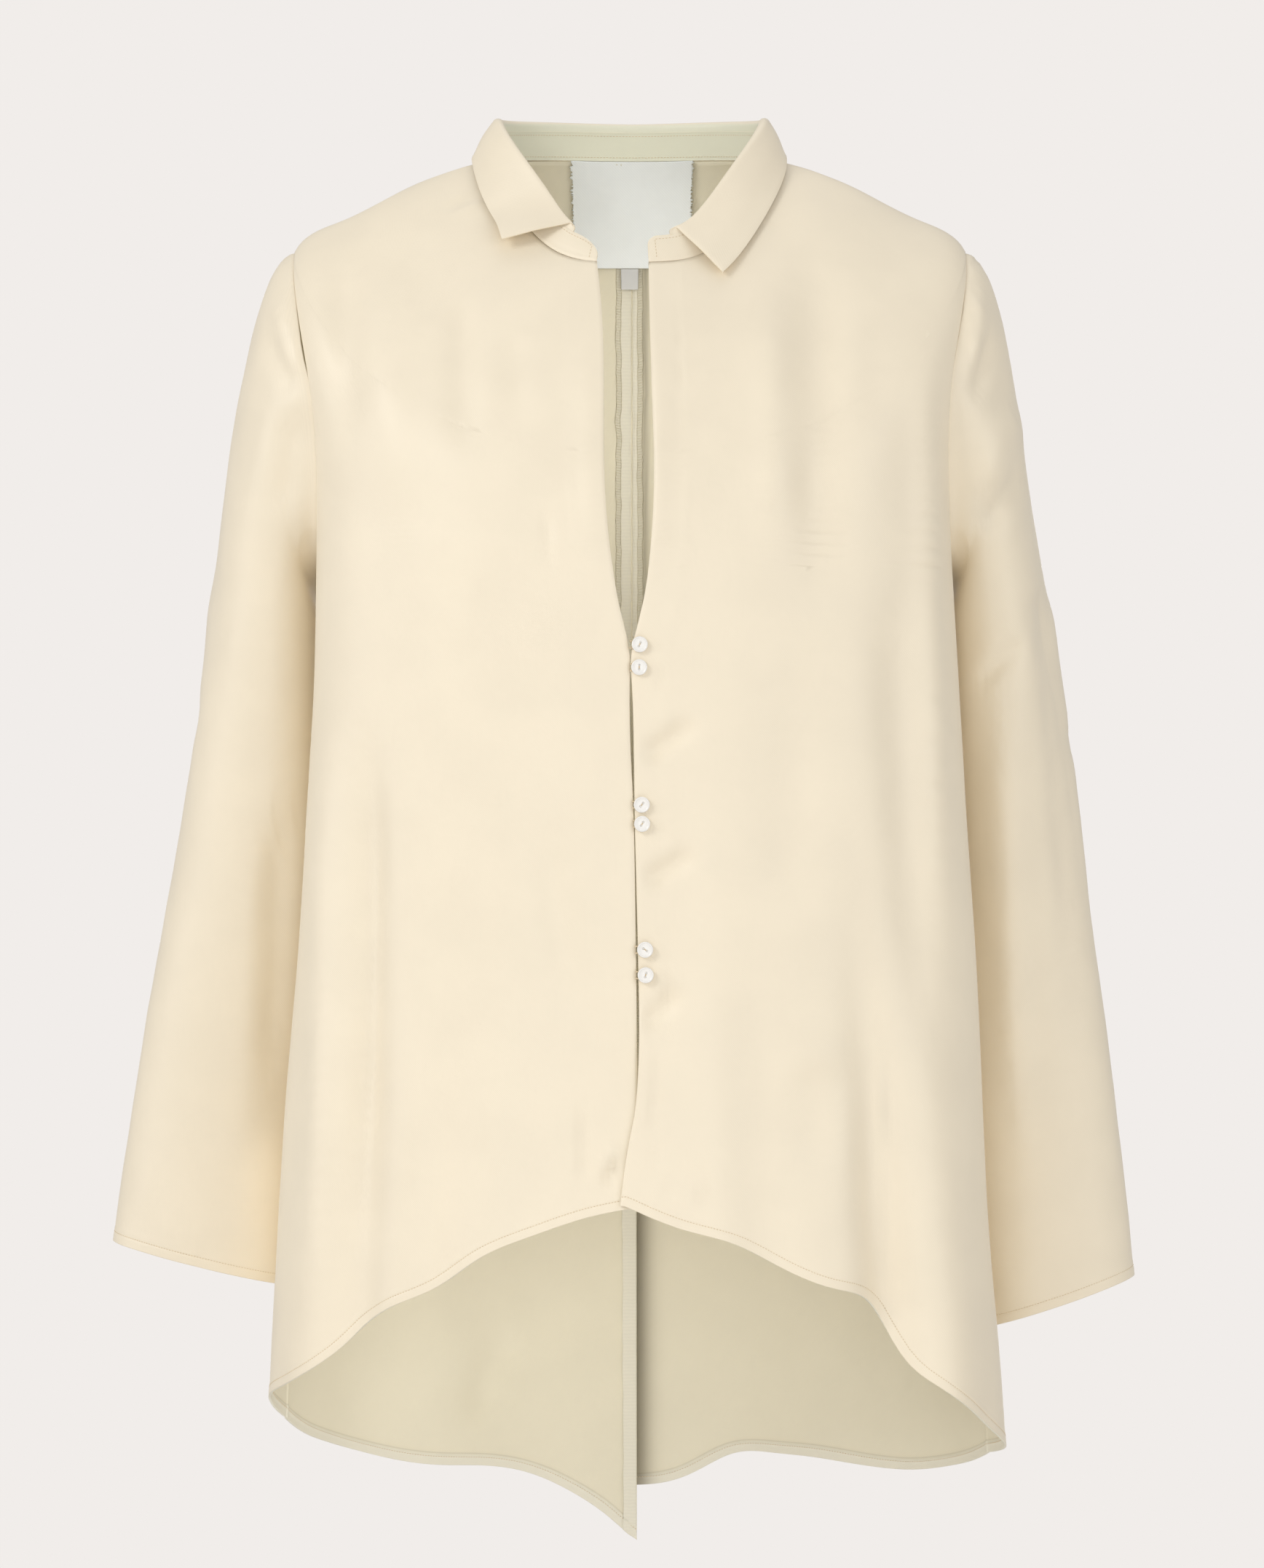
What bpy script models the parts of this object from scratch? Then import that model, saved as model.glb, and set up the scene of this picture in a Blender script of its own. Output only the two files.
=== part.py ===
"""Long-sleeved satin shirt with a split high-low hem, standing open and filled out as if worn.

Metres, +Z up, the front faces -Y and the wearer's right is at -X. The origin is the middle of the
neck opening, level with the tops of the shoulders, where the wearer holds the shirt up.

The torso is a stack of rings. Ring 0 is the neckline, ring SHOULDER passes over the tips of the
shoulders, ring UNDERARM lies flat through the bottoms of the armholes, and the rings below it are
level. A place on the torso is (ring, around): around is 0 at the centre front, 1 at the centre
back, measured along the ring on one side of the body. Each panel is a patch of that surface between
its seams, given a wall inwards.
"""

import math
from collections import namedtuple

import bmesh
import bpy
import numpy as np

# Driving sizes -------------------------------------------------------------------------------
CLOTH = 0.0012  # wall of the panels and sleeves
STAND_CLOTH = 0.0018  # two plies and their interfacing
LEAF_CLOTH = 0.0015
SEAM_GAP = 0.0003
RIGHT, LEFT = -1, 1  # the wearer's sides, as signs of x

SHOULDER, UNDERARM = 4, 8  # ring numbers
DROOP_POWER = 1.25  # how fast a yoke ring dips away from the shoulder
NECK_DROOP, NECK_DROOP_RINGS = 1.2, 3.0  # the inner rings dip more, a third of the way round
NECK_OVERLAP_ANGLE = 25  # degrees that a ring is followed past the centre front and back

Section = namedtuple(
    "Section",
    "right_width left_width side_y front_y back_y side_z front_z back_z front_square back_square",
)
SECTIONS = (
    Section(0.0790, 0.0780, 0.004, -0.066, 0.062, 0.008, -0.059, 0.013, 2.0, 2.1),
    Section(0.1090, 0.1090, 0.001, -0.084, 0.077, -0.001, -0.086, -0.018, 2.05, 2.2),
    Section(0.1390, 0.1380, -0.001, -0.098, 0.090, -0.014, -0.116, -0.052, 2.1, 2.3),
    Section(0.1690, 0.1670, -0.002, -0.109, 0.099, -0.029, -0.145, -0.088, 2.2, 2.4),
    Section(0.1965, 0.1940, -0.003, -0.117, 0.105, -0.047, -0.172, -0.124, 2.3, 2.4),
    Section(0.1980, 0.1955, -0.011, -0.122, 0.109, -0.090, -0.190, -0.155, 2.3, 2.35),
    Section(0.1895, 0.1885, -0.020, -0.125, 0.111, -0.135, -0.206, -0.184, 2.3, 2.3),
    Section(0.1825, 0.1835, -0.029, -0.127, 0.112, -0.185, -0.221, -0.210, 2.3, 2.2),
    Section(0.1818, 0.1845, -0.034, -0.128, 0.113, -0.236, -0.236, -0.236, 2.3, 2.1),
    Section(0.1830, 0.1885, -0.035, -0.129, 0.117, -0.300, -0.300, -0.300, 2.3, 2.05),
    Section(0.1872, 0.1932, -0.034, -0.130, 0.123, -0.380, -0.380, -0.380, 2.3, 2.05),
    Section(0.1930, 0.1982, -0.032, -0.131, 0.131, -0.460, -0.460, -0.460, 2.3, 2.05),
    Section(0.1998, 0.2024, -0.028, -0.133, 0.140, -0.540, -0.540, -0.540, 2.3, 2.1),
    Section(0.2052, 0.2071, -0.022, -0.136, 0.149, -0.620, -0.620, -0.620, 2.3, 2.1),
    Section(0.2098, 0.2140, -0.014, -0.139, 0.157, -0.700, -0.700, -0.700, 2.3, 2.15),
    Section(0.2150, 0.2210, -0.008, -0.142, 0.165, -0.830, -0.830, -0.830, 2.3, 2.2),
)

# Seams that run across the rings: degrees from the centre front, by ring number.
SeamPoint = namedtuple("SeamPoint", "ring angle")
SHOULDER_SEAM = (SeamPoint(0, 94), SeamPoint(2, 96), SeamPoint(SHOULDER, 95))
SIDE_SEAM = (SeamPoint(UNDERARM, 108), SeamPoint(11, 106), SeamPoint(15, 104))

# The armhole: turn is 0 at the shoulder tip and 180 at the underarm.
ArmholePoint = namedtuple("ArmholePoint", "turn front_angle back_angle")
ARMHOLE = (
    ArmholePoint(0, 95, 95),
    ArmholePoint(30, 76, 106),
    ArmholePoint(60, 70, 114),
    ArmholePoint(90, 74, 121),
    ArmholePoint(120, 83, 125),
    ArmholePoint(150, 94, 122),
    ArmholePoint(180, 108, 108),
)

# The two front edges: the neck opening gapes, and below the buttons the left front laps over.
FrontEdge = namedtuple("FrontEdge", "height right_x left_x")
FRONT_EDGES = (
    FrontEdge(-0.050, -0.0212, 0.0094),
    FrontEdge(-0.091, -0.0171, 0.0100),
    FrontEdge(-0.149, -0.0158, 0.0115),
    FrontEdge(-0.190, -0.0152, 0.0122),
    FrontEdge(-0.2185, -0.0131, 0.0109),
    FrontEdge(-0.2417, -0.0100, 0.0086),
    FrontEdge(-0.261, -0.0064, 0.0050),
    FrontEdge(-0.279, -0.0021, 0.0006),
    FrontEdge(-0.300, -0.0014, 0.0002),
    FrontEdge(-0.369, 0.0001, 0.0015),
    FrontEdge(-0.451, 0.0015, 0.0034),
    FrontEdge(-0.506, 0.0026, 0.0036),
    FrontEdge(-0.539, 0.0034, 0.0015),
    FrontEdge(-0.572, 0.0042, -0.0038),
    FrontEdge(-0.610, 0.0050, -0.0086),
)
LAP_TOP, LAP_LENGTH = -0.470, 0.050  # where the right front starts to tuck under the left
LAP_DEPTH, LAP_REACH = 0.0034, 0.060

# Hem heights by the place around: 0 is the centre front and 1 the centre back.
HEM_RING = 14  # the ring that places the hem's columns
HemPoint = namedtuple("HemPoint", "around right_z left_z")
FRONT_HEM = (
    HemPoint(-0.01, -0.5940, -0.5935),
    HemPoint(0.05, -0.6008, -0.6070),
    HemPoint(0.10, -0.6104, -0.6150),
    HemPoint(0.15, -0.6225, -0.6295),
    HemPoint(0.20, -0.6410, -0.6408),
    HemPoint(0.24, -0.6512, -0.6480),
    HemPoint(0.26, -0.6570, -0.6600),
    HemPoint(0.28, -0.6645, -0.6830),
    HemPoint(0.30, -0.6757, -0.6965),
    HemPoint(0.34, -0.6920, -0.7125),
    HemPoint(0.42, -0.7072, -0.7345),
    HemPoint(0.56, -0.7320, -0.7530),
)
BACK_HEM = (
    HemPoint(0.54, -0.7285, -0.7500),
    HemPoint(0.60, -0.7435, -0.7610),
    HemPoint(0.65, -0.7530, -0.7683),
    HemPoint(0.70, -0.7618, -0.7730),
    HemPoint(0.75, -0.7695, -0.7718),
    HemPoint(0.80, -0.7735, -0.7684),
    HemPoint(0.85, -0.7760, -0.7678),
    HemPoint(0.90, -0.7832, -0.7705),
    HemPoint(0.94, -0.7945, -0.7825),
    HemPoint(0.97, -0.8062, -0.7885),
    HemPoint(1.00, -0.8205, -0.7900),
    HemPoint(1.06, -0.8420, -0.7900),
)

# The vent in the centre back: the left back runs on behind the right one, further out.
VENT_TOP, VENT_EASE = -0.555, 0.030  # the left back moves out over the ease above the vent
VENT_RIGHT_X, VENT_UNDERLAP = 0.0028, 0.030
VENT_LIFT, VENT_REACH = 0.0038, 0.070

# The largest soft folds: a ridge, or a trough where height is negative, that fades in downwards.
Fold = namedtuple("Fold", "side around_top around_hem half_width height top_z full_z")
FOLDS = (
    Fold(RIGHT, 0.320, 0.345, 0.040, 0.0060, -0.36, -0.70),
    Fold(RIGHT, 0.275, 0.285, 0.028, -0.0110, -0.34, -0.68),
    Fold(RIGHT, 0.225, 0.235, 0.030, 0.0050, -0.42, -0.66),
    Fold(RIGHT, 0.185, 0.194, 0.026, -0.0080, -0.44, -0.64),
    Fold(RIGHT, 0.145, 0.148, 0.028, 0.0045, -0.40, -0.63),
    Fold(RIGHT, 0.700, 0.690, 0.060, 0.0070, -0.44, -0.78),
    Fold(RIGHT, 0.800, 0.790, 0.045, -0.0060, -0.45, -0.78),
    Fold(RIGHT, 0.900, 0.895, 0.040, 0.0060, -0.50, -0.80),
    Fold(LEFT, 0.310, 0.325, 0.045, 0.0130, -0.30, -0.70),
    Fold(LEFT, 0.246, 0.266, 0.030, -0.0280, -0.36, -0.69),
    Fold(LEFT, 0.130, 0.135, 0.030, -0.0050, -0.40, -0.63),
    Fold(LEFT, 0.085, 0.092, 0.028, 0.0050, -0.36, -0.62),
    Fold(LEFT, 0.680, 0.660, 0.060, 0.0070, -0.46, -0.77),
    Fold(LEFT, 0.800, 0.790, 0.050, -0.0110, -0.44, -0.77),
    Fold(LEFT, 0.900, 0.895, 0.035, 0.0080, -0.50, -0.78),
)

# Sleeves: outer and inner edge of each level ring as seen from the front, and its depth.
SleeveRing = namedtuple("SleeveRing", "outer_x outer_z inner_x inner_z middle_y half_depth")
SLEEVES = {
    RIGHT: (
        SleeveRing(0.2460, -0.232, 0.1795, -0.268, 0.036, 0.0600),
        SleeveRing(0.2600, -0.334, 0.1795, -0.366, 0.046, 0.0535),
        SleeveRing(0.2775, -0.437, 0.1850, -0.462, 0.055, 0.0465),
        SleeveRing(0.2960, -0.541, 0.1945, -0.561, 0.062, 0.0400),
        SleeveRing(0.3084, -0.630, 0.2030, -0.656, 0.067, 0.0365),
    ),
    LEFT: (
        SleeveRing(0.2415, -0.232, 0.1820, -0.268, 0.036, 0.0600),
        SleeveRing(0.2600, -0.334, 0.1870, -0.366, 0.046, 0.0535),
        SleeveRing(0.2730, -0.437, 0.1910, -0.462, 0.055, 0.0465),
        SleeveRing(0.2873, -0.541, 0.1970, -0.563, 0.062, 0.0400),
        SleeveRing(0.2994, -0.650, 0.2045, -0.682, 0.067, 0.0370),
    ),
}
SLEEVE_SQUARE = 2.15
CAP_PUSH, CAP_PULL = 0.115, 0.130  # how strongly the cap leaves the armhole and meets the arm
CAP_PUFF = 0.003  # the gathered head stands out this much just below the shoulder seam

# Collar, by share of the neckline from the right front end, over the back, to the left front end.
StandPoint = namedtuple("StandPoint", "angle lean right_height left_height")
STAND = (
    StandPoint(-180, 0.10, 0.0165, 0.0165),
    StandPoint(-120, 0.10, 0.0165, 0.0165),
    StandPoint(-90, 0.12, 0.0160, 0.0160),
    StandPoint(-50, 0.28, 0.0150, 0.0158),
    StandPoint(-15, 0.42, 0.0132, 0.0158),
    StandPoint(0, 0.45, 0.0132, 0.0158),
)
StandEnd = namedtuple("StandEnd", "round_angle least")
STAND_ENDS = {RIGHT: StandEnd(13, 0.15), LEFT: StandEnd(5, 0.60)}

# The leaf rises from the stand, rolls over, and its free edge lies over the torso.
LeafPoint = namedtuple("LeafPoint", "angle rise edge_ring edge_angle")
LEAF = {
    RIGHT: (
        LeafPoint(32, 0.0005, 0.70, 47.5),
        LeafPoint(42, 0.0015, 0.56, 54),
        LeafPoint(55, 0.0030, 0.50, 63),
        LeafPoint(75, 0.0030, 0.46, 80),
        LeafPoint(95, 0.0028, 0.46, 97),
        LeafPoint(130, 0.0020, 0.45, 131),
        LeafPoint(180, 0.0012, 0.42, 180),
    ),
    LEFT: (
        LeafPoint(20, 0.0005, 0.68, 30.5),
        LeafPoint(32, 0.0010, 0.52, 41),
        LeafPoint(45, 0.0020, 0.43, 52),
        LeafPoint(65, 0.0032, 0.40, 70),
        LeafPoint(95, 0.0028, 0.38, 97),
        LeafPoint(130, 0.0020, 0.43, 131),
        LeafPoint(180, 0.0012, 0.42, 180),
    ),
}
LEAF_CLEAR = 0.0030  # the free edge stays this far above the torso
LEAF_ROLL = 0.0024  # radius that the leaf turns over on
LEAF_SEAM = 0.0006  # the leaf starts this far above the stand

# Trims --------------------------------------------------------------------------------------
BUTTON_RADIUS, BUTTON_THICK = 0.0045, 0.0014
BUTTON_LIFT, SHANK_RADIUS = 0.0017, 0.0010
BUTTON_INSET = 0.0039  # from the left front's edge to the middle of a button
BUTTON_HEIGHTS = (-0.2816, -0.2933, -0.3694, -0.3803, -0.4506, -0.4647)
LOOP_WIRE, LOOP_BEND = 0.0005, 0.0019

SEAM_ALLOWANCE = {RIGHT: 0.0105, LEFT: 0.0085}
ALLOWANCE_CLOTH = 0.0010
LABEL_WIDTH, LABEL_TOP, LABEL_BOTTOM = 0.0720, 0.0122, -0.0489
LABEL_CLOTH, LABEL_CLEAR, LABEL_SWING = 0.0010, 0.0003, 0.0040
TAB_WIDTH, TAB_MIDDLE, TAB_BOTTOM, TAB_CLOTH = 0.0105, -0.0014, -0.0612, 0.0010

# Mesh fineness ------------------------------------------------------------------------------
FRONT_COLUMNS, BACK_COLUMNS, ARMHOLE_STEPS, YOKE_ROWS = 22, 15, 11, 5
FRONT_ROWS, VENT_ROWS, ABOVE_VENT_ROWS = 11, 6, 5
CAP_SHARES = (0.05, 0.13, 0.27, 0.46, 0.70)
STEP = 1e-3  # small step for slopes


# Curves through tables ----------------------------------------------------------------------
def spline(keys, values, at):
    """A natural cubic curve through (keys, values), read at any keys."""
    keys, values = np.asarray(keys, float), np.asarray(values, float)
    gaps, rises = np.diff(keys), np.diff(values)
    count = len(keys)
    matrix, right = np.eye(count), np.zeros(count)
    for i in range(1, count - 1):
        matrix[i, i - 1 : i + 2] = gaps[i - 1], 2 * (gaps[i - 1] + gaps[i]), gaps[i]
        right[i] = 6 * (rises[i] / gaps[i] - rises[i - 1] / gaps[i - 1])
    bend = np.linalg.solve(matrix, right)
    at = np.clip(np.asarray(at, float), keys[0], keys[-1])
    i = np.clip(np.searchsorted(keys, at) - 1, 0, count - 2)
    low, high, gap = at - keys[i], keys[i + 1] - at, gaps[i]
    cubic = (bend[i] * high**3 + bend[i + 1] * low**3) / (6 * gap)
    ends = (values[i] / gap - bend[i] * gap / 6) * high
    return cubic + ends + (values[i + 1] / gap - bend[i + 1] * gap / 6) * low


def column(table, name):
    return [getattr(row, name) for row in table]


def read(table, key, name, at):
    return spline(column(table, key), column(table, name), at)


def smooth_step(t):
    t = np.clip(t, 0, 1)
    return t * t * (3 - 2 * t)


def unit(vectors):
    return vectors / np.linalg.norm(vectors, axis=-1, keepdims=True)


# The torso surface --------------------------------------------------------------------------
def section(ring, name):
    return spline(range(len(SECTIONS)), column(SECTIONS, name), ring)


def ring_point(ring, angle, side):
    """Points on the plain torso: angle is in degrees from the centre front, round one side."""
    width = section(ring, "right_width" if side == RIGHT else "left_width")
    turn = np.radians(angle)
    sine, cosine = np.sin(turn), np.cos(turn)
    front = cosine > 0
    square = np.where(front, section(ring, "front_square"), section(ring, "back_square"))
    side_y, side_z = section(ring, "side_y"), section(ring, "side_z")
    end_y = np.where(front, section(ring, "front_y"), section(ring, "back_y"))
    end_z = np.where(front, section(ring, "front_z"), section(ring, "back_z"))
    x = side * width * np.sign(sine) * np.abs(sine) ** (2 / square)
    y = side_y + (end_y - side_y) * np.abs(cosine) ** (2 / square)
    reach = np.abs(cosine)
    inner = NECK_DROOP * np.clip(1 - np.asarray(ring) / NECK_DROOP_RINGS, 0, 1)
    z = side_z + (end_z - side_z) * (reach**DROOP_POWER + inner * reach**4 * (1 - reach))
    return np.stack(np.broadcast_arrays(x, y, z), axis=-1)


def ring_lengths(ring, side):
    """Sample angles, points and lengths along each ring, in shape (rings, samples)."""
    angles = np.linspace(-NECK_OVERLAP_ANGLE, 180 + NECK_OVERLAP_ANGLE, 231)
    points = ring_point(np.reshape(ring, (-1, 1)), angles, side)
    steps = np.linalg.norm(np.diff(points, axis=1), axis=-1)
    lengths = np.concatenate([np.zeros((len(points), 1)), np.cumsum(steps, axis=1)], axis=1)
    lengths -= [[np.interp(0, angles, row)] for row in lengths]
    halves = np.array([np.interp(180, angles, row) for row in lengths])
    return angles, points, lengths, halves


def angle_at(ring, around, side):
    ring, around = np.broadcast_arrays(ring, around)
    angles, _, lengths, halves = ring_lengths(ring.ravel(), side)
    pairs = zip(around.ravel() * halves, lengths)
    return np.array([np.interp(a, row, angles) for a, row in pairs]).reshape(ring.shape)


def around_at_angle(ring, angle, side):
    ring, angle = np.broadcast_arrays(np.asarray(ring, float), angle)
    angles, _, lengths, halves = ring_lengths(ring.ravel(), side)
    rows = zip(angle.ravel(), lengths, halves)
    return np.array([np.interp(a, angles, row) / half for a, row, half in rows]).reshape(ring.shape)


def around_at_x(ring, x, side, back=False):
    """The place on each ring, near the centre front or back, that lies at a given x."""
    ring, x = np.broadcast_arrays(np.asarray(ring, float), x)
    angles, points, lengths, halves = ring_lengths(ring.ravel(), side)
    near = angles > 125 if back else angles < 55
    order = slice(None, None, -1) if back else slice(None)
    found = []
    for want, row, length, half in zip(x.ravel() * side, points, lengths, halves):
        found.append(np.interp(want, row[near, 0][order] * side, length[near][order]) / half)
    return np.array(found).reshape(ring.shape)


def ring_length(ring, side):
    return ring_lengths(ring, side)[3].reshape(np.shape(ring))


def ring_at_height(height):
    """Ring numbers of heights at and below the underarm, where the rings are level."""
    rings = np.linspace(UNDERARM, len(SECTIONS) - 1, 200)
    return np.interp(-np.asarray(height), -section(rings, "side_z"), rings)


def plain_torso(ring, around, side):
    return ring_point(ring, angle_at(ring, around, side), side)


def normals_of(surface, ring, around, side):
    """Outward unit normals of a surface(ring, around, side), from small steps both ways."""
    last = len(SECTIONS) - 1
    up, down = np.clip(ring - 10 * STEP, 0, last), np.clip(ring + 10 * STEP, 0, last)
    along = surface(ring, around + STEP, side) - surface(ring, around - STEP, side)
    across = surface(down, around, side) - surface(up, around, side)
    return side * unit(np.cross(across, along))


def relief(ring, around, side, height):
    """How far the folds, the front lap and the vent move the cloth outwards."""
    moved = np.zeros(np.shape(around))
    for fold in FOLDS:
        if fold.side != side:
            continue
        grown = smooth_step((fold.top_z - height) / (fold.top_z - fold.full_z))
        middle = fold.around_top + (fold.around_hem - fold.around_top) * grown
        moved = moved + fold.height * grown * np.exp(-(((around - middle) / fold.half_width) ** 2))
    length = ring_length(ring, side)
    if side == RIGHT:
        tucked = smooth_step((LAP_TOP - height) / LAP_LENGTH)
        moved = moved - LAP_DEPTH * tucked * smooth_step(1 - around * length / LAP_REACH)
    else:
        lifted = smooth_step((VENT_TOP + VENT_EASE - height) / VENT_EASE)
        moved = moved + VENT_LIFT * lifted * smooth_step(1 - (1 - around) * length / VENT_REACH)
    return moved


def torso(ring, around, side):
    """The outer face of the cloth."""
    ring, around = np.broadcast_arrays(np.asarray(ring, float), around)
    plain = plain_torso(ring, around, side)
    out = normals_of(plain_torso, ring, around, side)
    return plain + out * relief(ring, around, side, plain[..., 2])[..., None]


# Solids -------------------------------------------------------------------------------------
def material(name, color, roughness):
    made = bpy.data.materials.get(name) or bpy.data.materials.new(name)
    made.use_nodes = True
    shader = made.node_tree.nodes["Principled BSDF"]
    shader.inputs["Base Color"].default_value = (*color, 1)
    shader.inputs["Roughness"].default_value = roughness
    shader.inputs["Metallic"].default_value = 0
    return made


def add_object(name, mesh, finish):
    mesh.shade_smooth()
    mesh.set_sharp_from_angle(angle=math.radians(40))
    mesh.materials.append(finish)
    made = bpy.data.objects.new(name, mesh)
    bpy.context.scene.collection.objects.link(made)
    return made


def skin(bm, points, closed):
    """Adds a grid of quads over points[row][column], and returns its vertices the same way."""
    rows = [[bm.verts.new(p) for p in row] for row in points]
    wrap = 0 if closed else -1
    for low, high in zip(rows, rows[1:]):
        count = len(low)
        for i in range(count + wrap):
            j = (i + 1) % count
            bm.faces.new((low[i], low[j], high[j], high[i]))
    return rows


def wall(name, outer, inner, finish, closed=False):
    """A closed solid between two grids of points, with its rim filled in."""
    bm = bmesh.new()
    near, far = skin(bm, outer, closed), skin(bm, inner, closed)
    if closed:
        loops = [(near[0], far[0]), (near[-1], far[-1])]
    else:
        around = [near, far]
        rims = [
            row[0][:-1] + [r[-1] for r in row[:-1]] + row[-1][:0:-1] + [r[0] for r in row[:0:-1]]
            for row in around
        ]
        loops = [tuple(rims)]
    for first, second in loops:
        count = len(first)
        for i in range(count):
            j = (i + 1) % count
            bm.faces.new((first[i], first[j], second[j], second[i]))
    bmesh.ops.recalc_face_normals(bm, faces=bm.faces)
    mesh = bpy.data.meshes.new(name)
    bm.to_mesh(mesh)
    bm.free()
    return add_object(name, mesh, finish)


def torso_wall(name, ring, around, side, finish):
    """A wall on the torso. Returns its outer points and their normals."""
    points = torso(ring, around, side)
    out = normals_of(torso, ring, around, side)
    wall(name, points, points - out * CLOTH, finish)
    return points, out


# Panels -------------------------------------------------------------------------------------
def armhole_turns():
    return np.linspace(180, 0, ARMHOLE_STEPS + 1)


def armhole_ring(turn):
    share = (1 - np.cos(np.radians(turn))) / 2
    return SHOULDER + (UNDERARM - SHOULDER) * share


def armhole_edge(turn, side, name):
    ring = armhole_ring(turn)
    return around_at_angle(ring, read(ARMHOLE, "turn", name, turn), side)


def edge_rings():
    """Ring numbers up the side of a panel, above the underarm."""
    yoke = np.linspace(SHOULDER, 0, YOKE_ROWS + 1)[1:]
    return np.concatenate([armhole_ring(armhole_turns())[1:], yoke])


def seam_arounds(side, armhole_name, gap_sign):
    """Where the side seam's top, the armhole and the shoulder seam lie, from the underarm up."""
    armhole = armhole_edge(armhole_turns(), side, armhole_name)
    yoke = np.linspace(SHOULDER, 0, YOKE_ROWS + 1)[1:]
    shoulder = around_at_angle(yoke, read(SHOULDER_SEAM, "ring", "angle", yoke), side)
    half_gap = gap_sign * SEAM_GAP / 2
    armhole[0] += half_gap / ring_length(UNDERARM, side)
    armhole[-1] += half_gap / ring_length(SHOULDER, side)
    return np.concatenate([armhole, shoulder + half_gap / ring_length(yoke, side)])


def skirt_heights(hem_z, levels):
    """Heights from the hem up through level rows: levels are (height, rows up to it)."""
    rows, low = [], hem_z
    for level, count in levels:
        rise = np.linspace(0, 1, count + 1)[:-1]
        rows.append(low + (level - low) * rise[:, None])
        low = np.full(hem_z.shape, level)
    return np.concatenate(rows)


def panel_grid(side, hem_z, levels, armhole_name, gap_sign, centre_edge):
    """Ring numbers and places of a panel's points, from the hem up and from the centre out."""
    share = np.linspace(0, 1, len(hem_z))
    skirt = ring_at_height(skirt_heights(hem_z, levels))
    upper = np.concatenate([[UNDERARM], edge_rings()])
    ring = np.concatenate([skirt, np.repeat(upper[:, None], len(share), axis=1)])
    side_rings = skirt[:, -1]
    side_seam = around_at_angle(side_rings, read(SIDE_SEAM, "ring", "angle", side_rings), side)
    side_seam = side_seam + gap_sign * SEAM_GAP / 2 / ring_length(side_rings, side)
    edge = np.concatenate([side_seam, seam_arounds(side, armhole_name, gap_sign)])
    centre = centre_edge(ring[:, 0], side)
    around = centre[:, None] + (edge - centre)[:, None] * share
    return ring, around


def front_edge(ring, side):
    height = ring_point(ring, 0.0, side)[..., 2]
    height = np.clip(height, FRONT_EDGES[-1].height, FRONT_EDGES[0].height)
    x = read(FRONT_EDGES[::-1], "height", "right_x" if side == RIGHT else "left_x", height)
    return around_at_x(ring, x, side)


def back_edge(ring, side):
    height = ring_point(ring, 180.0, side)[..., 2]
    half_gap = SEAM_GAP / 2 / ring_length(ring, side)
    if side == RIGHT:
        opened = smooth_step((VENT_TOP - height) / 0.02)
        vent = around_at_x(ring, VENT_RIGHT_X * opened, side, back=True)
    else:
        opened = smooth_step((VENT_TOP - height) / 0.05)
        vent = around_at_x(ring, -VENT_UNDERLAP * opened, side, back=True)
    return np.where(height > VENT_TOP, 1.0, vent) - half_gap


def hem_heights(table, side, columns, centre_edge):
    """Hem heights at even columns from a panel's edge at the centre to its side seam."""
    low = np.array(float(HEM_RING))
    side_seam = around_at_angle(low, read(SIDE_SEAM, "ring", "angle", low), side)
    around = np.linspace(float(centre_edge(low, side)), float(side_seam), columns + 1)
    return read(table, "around", "right_z" if side == RIGHT else "left_z", around)


def make_fronts(finish):
    levels = ((section(UNDERARM, "side_z"), FRONT_ROWS),)
    for name, side in (("front_right", RIGHT), ("front_left", LEFT)):
        hem_z = hem_heights(FRONT_HEM, side, FRONT_COLUMNS, front_edge)
        ring, around = panel_grid(side, hem_z, levels, "front_angle", -1, front_edge)
        torso_wall(name, ring, around, side, finish)


def make_backs(finish):
    underarm_z = section(UNDERARM, "side_z")
    levels = ((VENT_TOP, VENT_ROWS), (VENT_TOP + VENT_EASE, 1), (underarm_z, ABOVE_VENT_ROWS))
    for name, side in (("back_right", RIGHT), ("back_left", LEFT)):
        hem_z = hem_heights(BACK_HEM, side, BACK_COLUMNS, back_edge)
        ring, around = panel_grid(side, hem_z, levels, "back_angle", 1, back_edge)
        points, out = torso_wall(name, ring, around, side, finish)
        make_seam_allowance(points, out, side, finish)


def make_seam_allowance(points, out, side, finish):
    """The centre back seam's pressed-open edge, on the panel's first column of quads.

    The right one runs on down the vent as its turned edge.
    """
    name = "back_seam_right" if side == RIGHT else "back_seam_left"
    rows = slice(0, None) if side == RIGHT else slice(VENT_ROWS, None)
    edge, along, out = points[rows, 0], points[rows, 1] - points[rows, 0], out[rows, 0]
    along = unit(along)
    widths = np.linspace(SEAM_GAP, SEAM_ALLOWANCE[side], 3)
    face = edge[:, None] + along[:, None] * widths[:, None] - out[:, None] * (CLOTH + SEAM_GAP)
    wall(name, face, face - out[:, None] * ALLOWANCE_CLOTH, finish)


# Sleeves ------------------------------------------------------------------------------------
def armhole_loop(side):
    """Points round the armhole, their outward normals, and the way into the hole."""
    turn = np.linspace(0, 180, ARMHOLE_STEPS + 1)
    front = armhole_edge(turn, side, "front_angle")
    back = armhole_edge(turn, side, "back_angle")
    rings = np.concatenate([armhole_ring(turn), armhole_ring(turn[-2:0:-1])])
    around = np.concatenate([front, back[-2:0:-1]])
    points = torso(rings, around, side)
    out = normals_of(torso, rings, around, side)
    along = unit(np.roll(points, -1, axis=0) - np.roll(points, 1, axis=0))
    inwards = unit(np.cross(along, out))
    towards = points.mean(axis=0) - points
    inwards *= np.sign(np.sum(inwards * towards, axis=-1, keepdims=True))
    return points, out, inwards


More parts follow.
